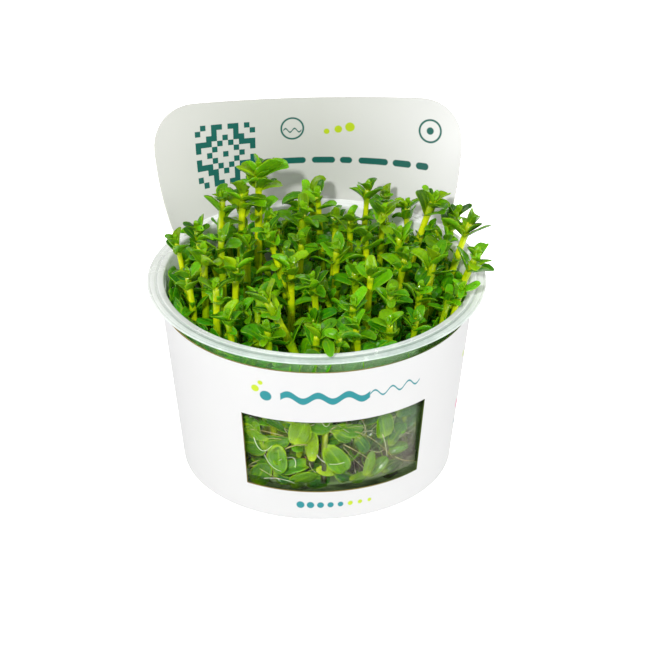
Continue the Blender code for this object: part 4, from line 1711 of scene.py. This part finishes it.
def drawFloorLeaves(bm, draw):
    # low over the gel, pointing roughly inwards
    for number in range(litter["leaves"]):
        radius, angle = scatter(draw, litter["leafReach"])
        root = roundAxis(radius, angle, draw.uniform(*litter["leafHeights"]))
        if inClearing(root):
            continue
        out = roundAxis(-1.0, angle, 0.0)
        out.rotate(Matrix.Rotation(draw.uniform(-1.3, 1.3), 3, "Z"))
        length, rise, roll = draw.uniform(4.5, 8.0), draw.uniform(-2, 35), draw.uniform(-30, 30)
        leaf = Leaf(root, out, upward, length, rise, 30, roll)
        drawLeaf(bm, leaf, (0.4 * draw.random(), 0.0, draw.random() ** 3), draw)


def drawThatch(bm, draw):
    # old dark leaves behind the front row
    for number in range(litter["thatch"]):
        degrees, z = draw.uniform(*litter["thatchArcDeg"]), draw.uniform(*litter["thatchHeights"])
        inset, lean = draw.uniform(*litter["thatchInset"]), draw.uniform(-110.0, 110.0)
        length, tilt, roll = draw.uniform(5.0, 9.0), draw.uniform(-40, 20), draw.uniform(-40, 40)
        leaf = wallLeaf(degrees, z, lean, length, inset, tilt, roll)
        drawLeaf(bm, leaf, (0.2 * draw.random(), 0.0, 0.85 * draw.random()), draw)


def makeLowLeaves(crowd):
    draw = random.Random(litter["seed"])
    bm = newPlantMesh()
    drawRimLeaf(bm)
    drawWindowLeaves(bm, crowd, draw)
    drawFloorLeaves(bm, draw)
    drawThatch(bm, draw)
    return addPiece("lowLeaves", bm, ("stem", "leaf"))


def makeWallLeaves(shoots, holders, crowd):
    draw = random.Random(wallLeaves["seed"])
    bm = newPlantMesh()
    stems = [shoot.block for shoot in shoots]
    kept = 0
    for number in range(wallLeaves["count"]):
        degrees, z = draw.uniform(-180.0, 180.0), draw.triangular(*wallLeaves["heights"])
        lean, length = draw.uniform(-100.0, 100.0), draw.uniform(*wallLeaves["length"])
        inset, tilt = draw.uniform(*wallLeaves["inset"]), draw.uniform(-12.0, 6.0)
        leaf = wallLeaf(degrees, z, lean, length, inset, tilt, draw.uniform(-25.0, 25.0))
        block = leaf.testBlock(*slimTest)
        tint = (0.65 * draw.random() ** 1.5, 0.3 * draw.random() ** 5, 0.5 * draw.random() ** 7)
        if z < sleeve["windowTop"] and draw.random() < wallLeaves["windowThin"]:
            continue
        crossing = z < wallLeaves["tuckedFrom"] and crowd.touches(block)
        if touches(block, holders + stems) or crossing or inClearing(leaf.centre(0.5)):
            continue
        crowd.add(block)
        kept += 1
        drawLeaf(bm, leaf, tint, draw)
    print("leaves along the wall:", kept)
    return addPiece("wallLeaves", bm, ("stem", "leaf"))


mist = {
    "inset": 0.12,
    "thick": 0.04,
    # degrees round the wall and heights of each film: behind the window and under the rim
    "films": ((-34.0, 52.0, 12.8, 37.5), (-96.0, 96.0, 50.0, 57.3)),
}


def makeMist():
    bm = bmesh.new()
    for fromDeg, toDeg, low, high in mist["films"]:
        for vert in bmesh.ops.create_grid(bm, x_segments=28, y_segments=5, size=0.5)["verts"]:
            degrees = fromDeg + (toDeg - fromDeg) * (vert.co.x + 0.5)
            vert.co = wallPlace(degrees, low + (high - low) * (vert.co.y + 0.5), mist["inset"]) * mm
    bmesh.ops.solidify(bm, geom=bm.faces[:], thickness=mist["thick"] * mm)
    bmesh.ops.recalc_face_normals(bm, faces=bm.faces[:])
    return addPiece("wallMist", bm, ("mist",))


def bentRoot(start, middle, end, half):
    strand = Stem(start, end, 0, 1.0, half)
    strand.bend = middle
    return strand


def drawRoot(bm, strand, age):
    def halfAt(share):
        return strand.half * (1.0 - 0.5 * share)

    def tintAt(share):
        return age, age, age, 1.0

    drawRod(bm, "root", 0, strand, 0.3, halfAt, tintAt)


def makeRoots():
    draw = random.Random(litter["seed"] + 1)
    grown = []
    for start, middle, end, age in windowRoots:
        half = draw.uniform(0.08, 0.12) * (1.0 + age)
        strand = bentRoot(wallPlace(*start, 0.4), wallPlace(*middle, 0.35), wallPlace(*end, 0.4), half)
        grown.append((strand, age))
    # over the gel
    for number in range(litter["roots"]):
        radius, angle = scatter(draw, litter["rootReach"])
        start = roundAxis(radius, angle, litter["rootHeights"][0])
        angle += draw.uniform(0.2, 0.9)
        radius = litter["rootReach"] * math.sqrt(draw.uniform(0.1, 1.0))
        end = roundAxis(radius, angle, draw.uniform(*litter["rootHeights"]))
        if inClearing(start) or inClearing(end):
            continue
        half = draw.uniform(*litter["rootHalf"])
        sway = Vector((draw.uniform(-6, 6), draw.uniform(-6, 6), draw.uniform(1.0, 7.0)))
        grown.append((bentRoot(start, (start + end) / 2 + sway, end, half), draw.random()))
    # behind the window
    for number in range(litter["strands"]):
        degrees, z = draw.uniform(-42.0, 42.0), draw.uniform(13.5, 34.0)
        places = []
        for place in range(3):
            aside, rise = draw.uniform(-11.0, 11.0), draw.uniform(-6.0, 6.0)
            inset = draw.uniform(*litter["strandInset"])
            places.append(wallPlace(degrees + aside, max(13.0, z + rise), inset))
        strand = bentRoot(*places, draw.uniform(*litter["strandHalf"]))
        grown.append((strand, draw.uniform(0.5, 1.0)))
    bm = newPlantMesh()
    for strand, age in grown:
        drawRoot(bm, strand, age)
    return addPiece("fineRoots", bm, ("root",))


drops = {
    "onLeaves": 420,
    "onWall": 150,
    "leafRadius": (0.16, 0.42),
    "wallRadius": (0.12, 0.3),
    "seed": 71,
}


def drawDrop(bm, centre, normal, radius, flatness):
    turnTo = normal.to_track_quat("Z", "Y").to_matrix() * radius
    for vert in copyTemplate(bm, "drop", 0)[0]:
        vert.co = (centre + turnTo @ Vector((vert.co.x, vert.co.y, vert.co.z * flatness))) * mm


def makeDrops(shoots):
    draw = random.Random(drops["seed"])
    bm = bmesh.new()
    leaves = [leaf for shoot in shoots for leaf in shoot.leaves]
    for leaf in draw.sample(leaves, drops["onLeaves"]):
        share = draw.uniform(0.3, 0.8)
        side, normal = leaf.axes(share)
        spot = leaf.centre(share) + side * draw.uniform(-0.4, 0.4) * leaf.length * grow["halfWidth"]
        drawDrop(bm, spot + normal * grow["halfThick"], normal, draw.uniform(*drops["leafRadius"]), 0.7)
    for number in range(drops["onWall"]):
        degrees, z = draw.uniform(-50.0, 60.0), draw.uniform(13.0, 57.0)
        spot = wallPlace(degrees, z, 0.0)
        inward = -Vector((spot.x, spot.y, 0.0)).normalized()
        radius = draw.uniform(*drops["wallRadius"])
        drawDrop(bm, spot + inward * 0.3 * radius, inward, radius, 0.6)
    return addPiece("waterDrops", bm, ("drop",))


mains, youngs, sprouts, crowd, holders = planPlants()
draw = random.Random(lowLeaves["seed"] + 1)
for number, shoot in enumerate(mains, start=1):
    growPiece(f"bacopaShoot_{number:02d}", [shoot], draw, replaced=(f"shoot_{number:02d}",))
for group in range(young["pieces"]):
    growPiece(f"youngShoots_{group + 1}", youngs[group::young["pieces"]], draw)
growPiece("sideSprouts", sprouts, draw, "sprout")
makeLowLeaves(crowd)
makeWallLeaves(mains + youngs + sprouts, holders, crowd)
makeMist()
makeRoots()
makeDrops(mains + youngs)
print("shoots grown:", len(mains), "main,", len(youngs), "young,", len(sprouts), "sprouts")


# Floor, lights and camera
def towards(azimuthDeg, elevationDeg):
    # from the object, azimuth 0 is straight out in front of the window
    azimuth, elevation = math.radians(azimuthDeg), math.radians(elevationDeg)
    flat = math.cos(elevation)
    return Vector((flat * math.sin(azimuth), -flat * math.cos(azimuth), math.sin(elevation)))


def makeStage():
    bm = bmesh.new()
    bmesh.ops.create_grid(bm, x_segments=1, y_segments=1, size=light["floorSize"] / 2)
    mesh = meshFrom(bm, "paleFloor")
    material, tree, shader = newMaterial("paleFloor")
    cloud = noise(tree, objectPlace(tree), 3.0, 1.0)
    # white to the eye, as in a studio cut-out, with only a soft glow on what stands there
    glow = remap(tree, seenBy(tree, "Is Camera Ray"), 0.0, 1.0, light["floorGlow"], light["floorSeen"])
    fill(tree, shader, {
        "Base Color": blendColour(tree, cloud, linear("#fbfbfb"), linear("#ffffff")),
        "Roughness": 0.9,
        "Specular IOR Level": 0.1,
        "Emission Color": glow,
        "Emission Strength": 1.0,
    })
    mesh.materials.append(material)
    floor = bpy.data.objects.new("paleFloor", mesh)
    bpy.context.scene.collection.objects.link(floor)


def lookBack(name, data, target, away, distance):
    # set off from its target and turned to face it
    thing = bpy.data.objects.new(name, data)
    thing.location = Vector(target) + away * distance
    thing.rotation_euler = (-away).to_track_quat("-Z", "Y").to_euler()
    bpy.context.scene.collection.objects.link(thing)
    return thing


def makeLight(name):
    azimuthDeg, elevationDeg, distance, power, size = light[name]
    data = bpy.data.lights.new(name, "AREA")
    data.energy = power
    data.size = size
    lookBack(name, data, light["target"], towards(azimuthDeg, elevationDeg), distance)


def makeWorld():
    # white to the eye and for soft light, dimmer in reflections so that wet leaves keep their colour
    world = bpy.data.worlds.new("softWhite")
    world.use_nodes = True
    tree = world.node_tree
    strength = remap(tree, seenBy(tree, "Is Glossy Ray"), 0.0, 1.0, light["world"], light["worldInGloss"])
    strength = larger(tree, strength, seenBy(tree, "Is Camera Ray"))
    fill(tree, tree.nodes["Background"], {"Color": (1.0, 1.0, 1.0, 1.0), "Strength": strength})
    bpy.context.scene.world = world


def makeCamera():
    data = bpy.data.cameras.new("photoView")
    data.sensor_width = camera["sensor"]
    data.lens = camera["focalPixels"] * camera["sensor"] / camera["framePixels"]
    data.clip_start = 0.01
    data.clip_end = 20.0
    away = towards(camera["azimuthDeg"], camera["elevationDeg"])
    bpy.context.scene.camera = lookBack("photoView", data, camera["lookAt"], away, camera["distance"])


makeStage()
for name in ("key", "leftFill", "rightFill"):
    makeLight(name)
makeWorld()
makeCamera()
bpy.context.scene.view_settings.view_transform = "Standard"
print("stage, lights and camera set")
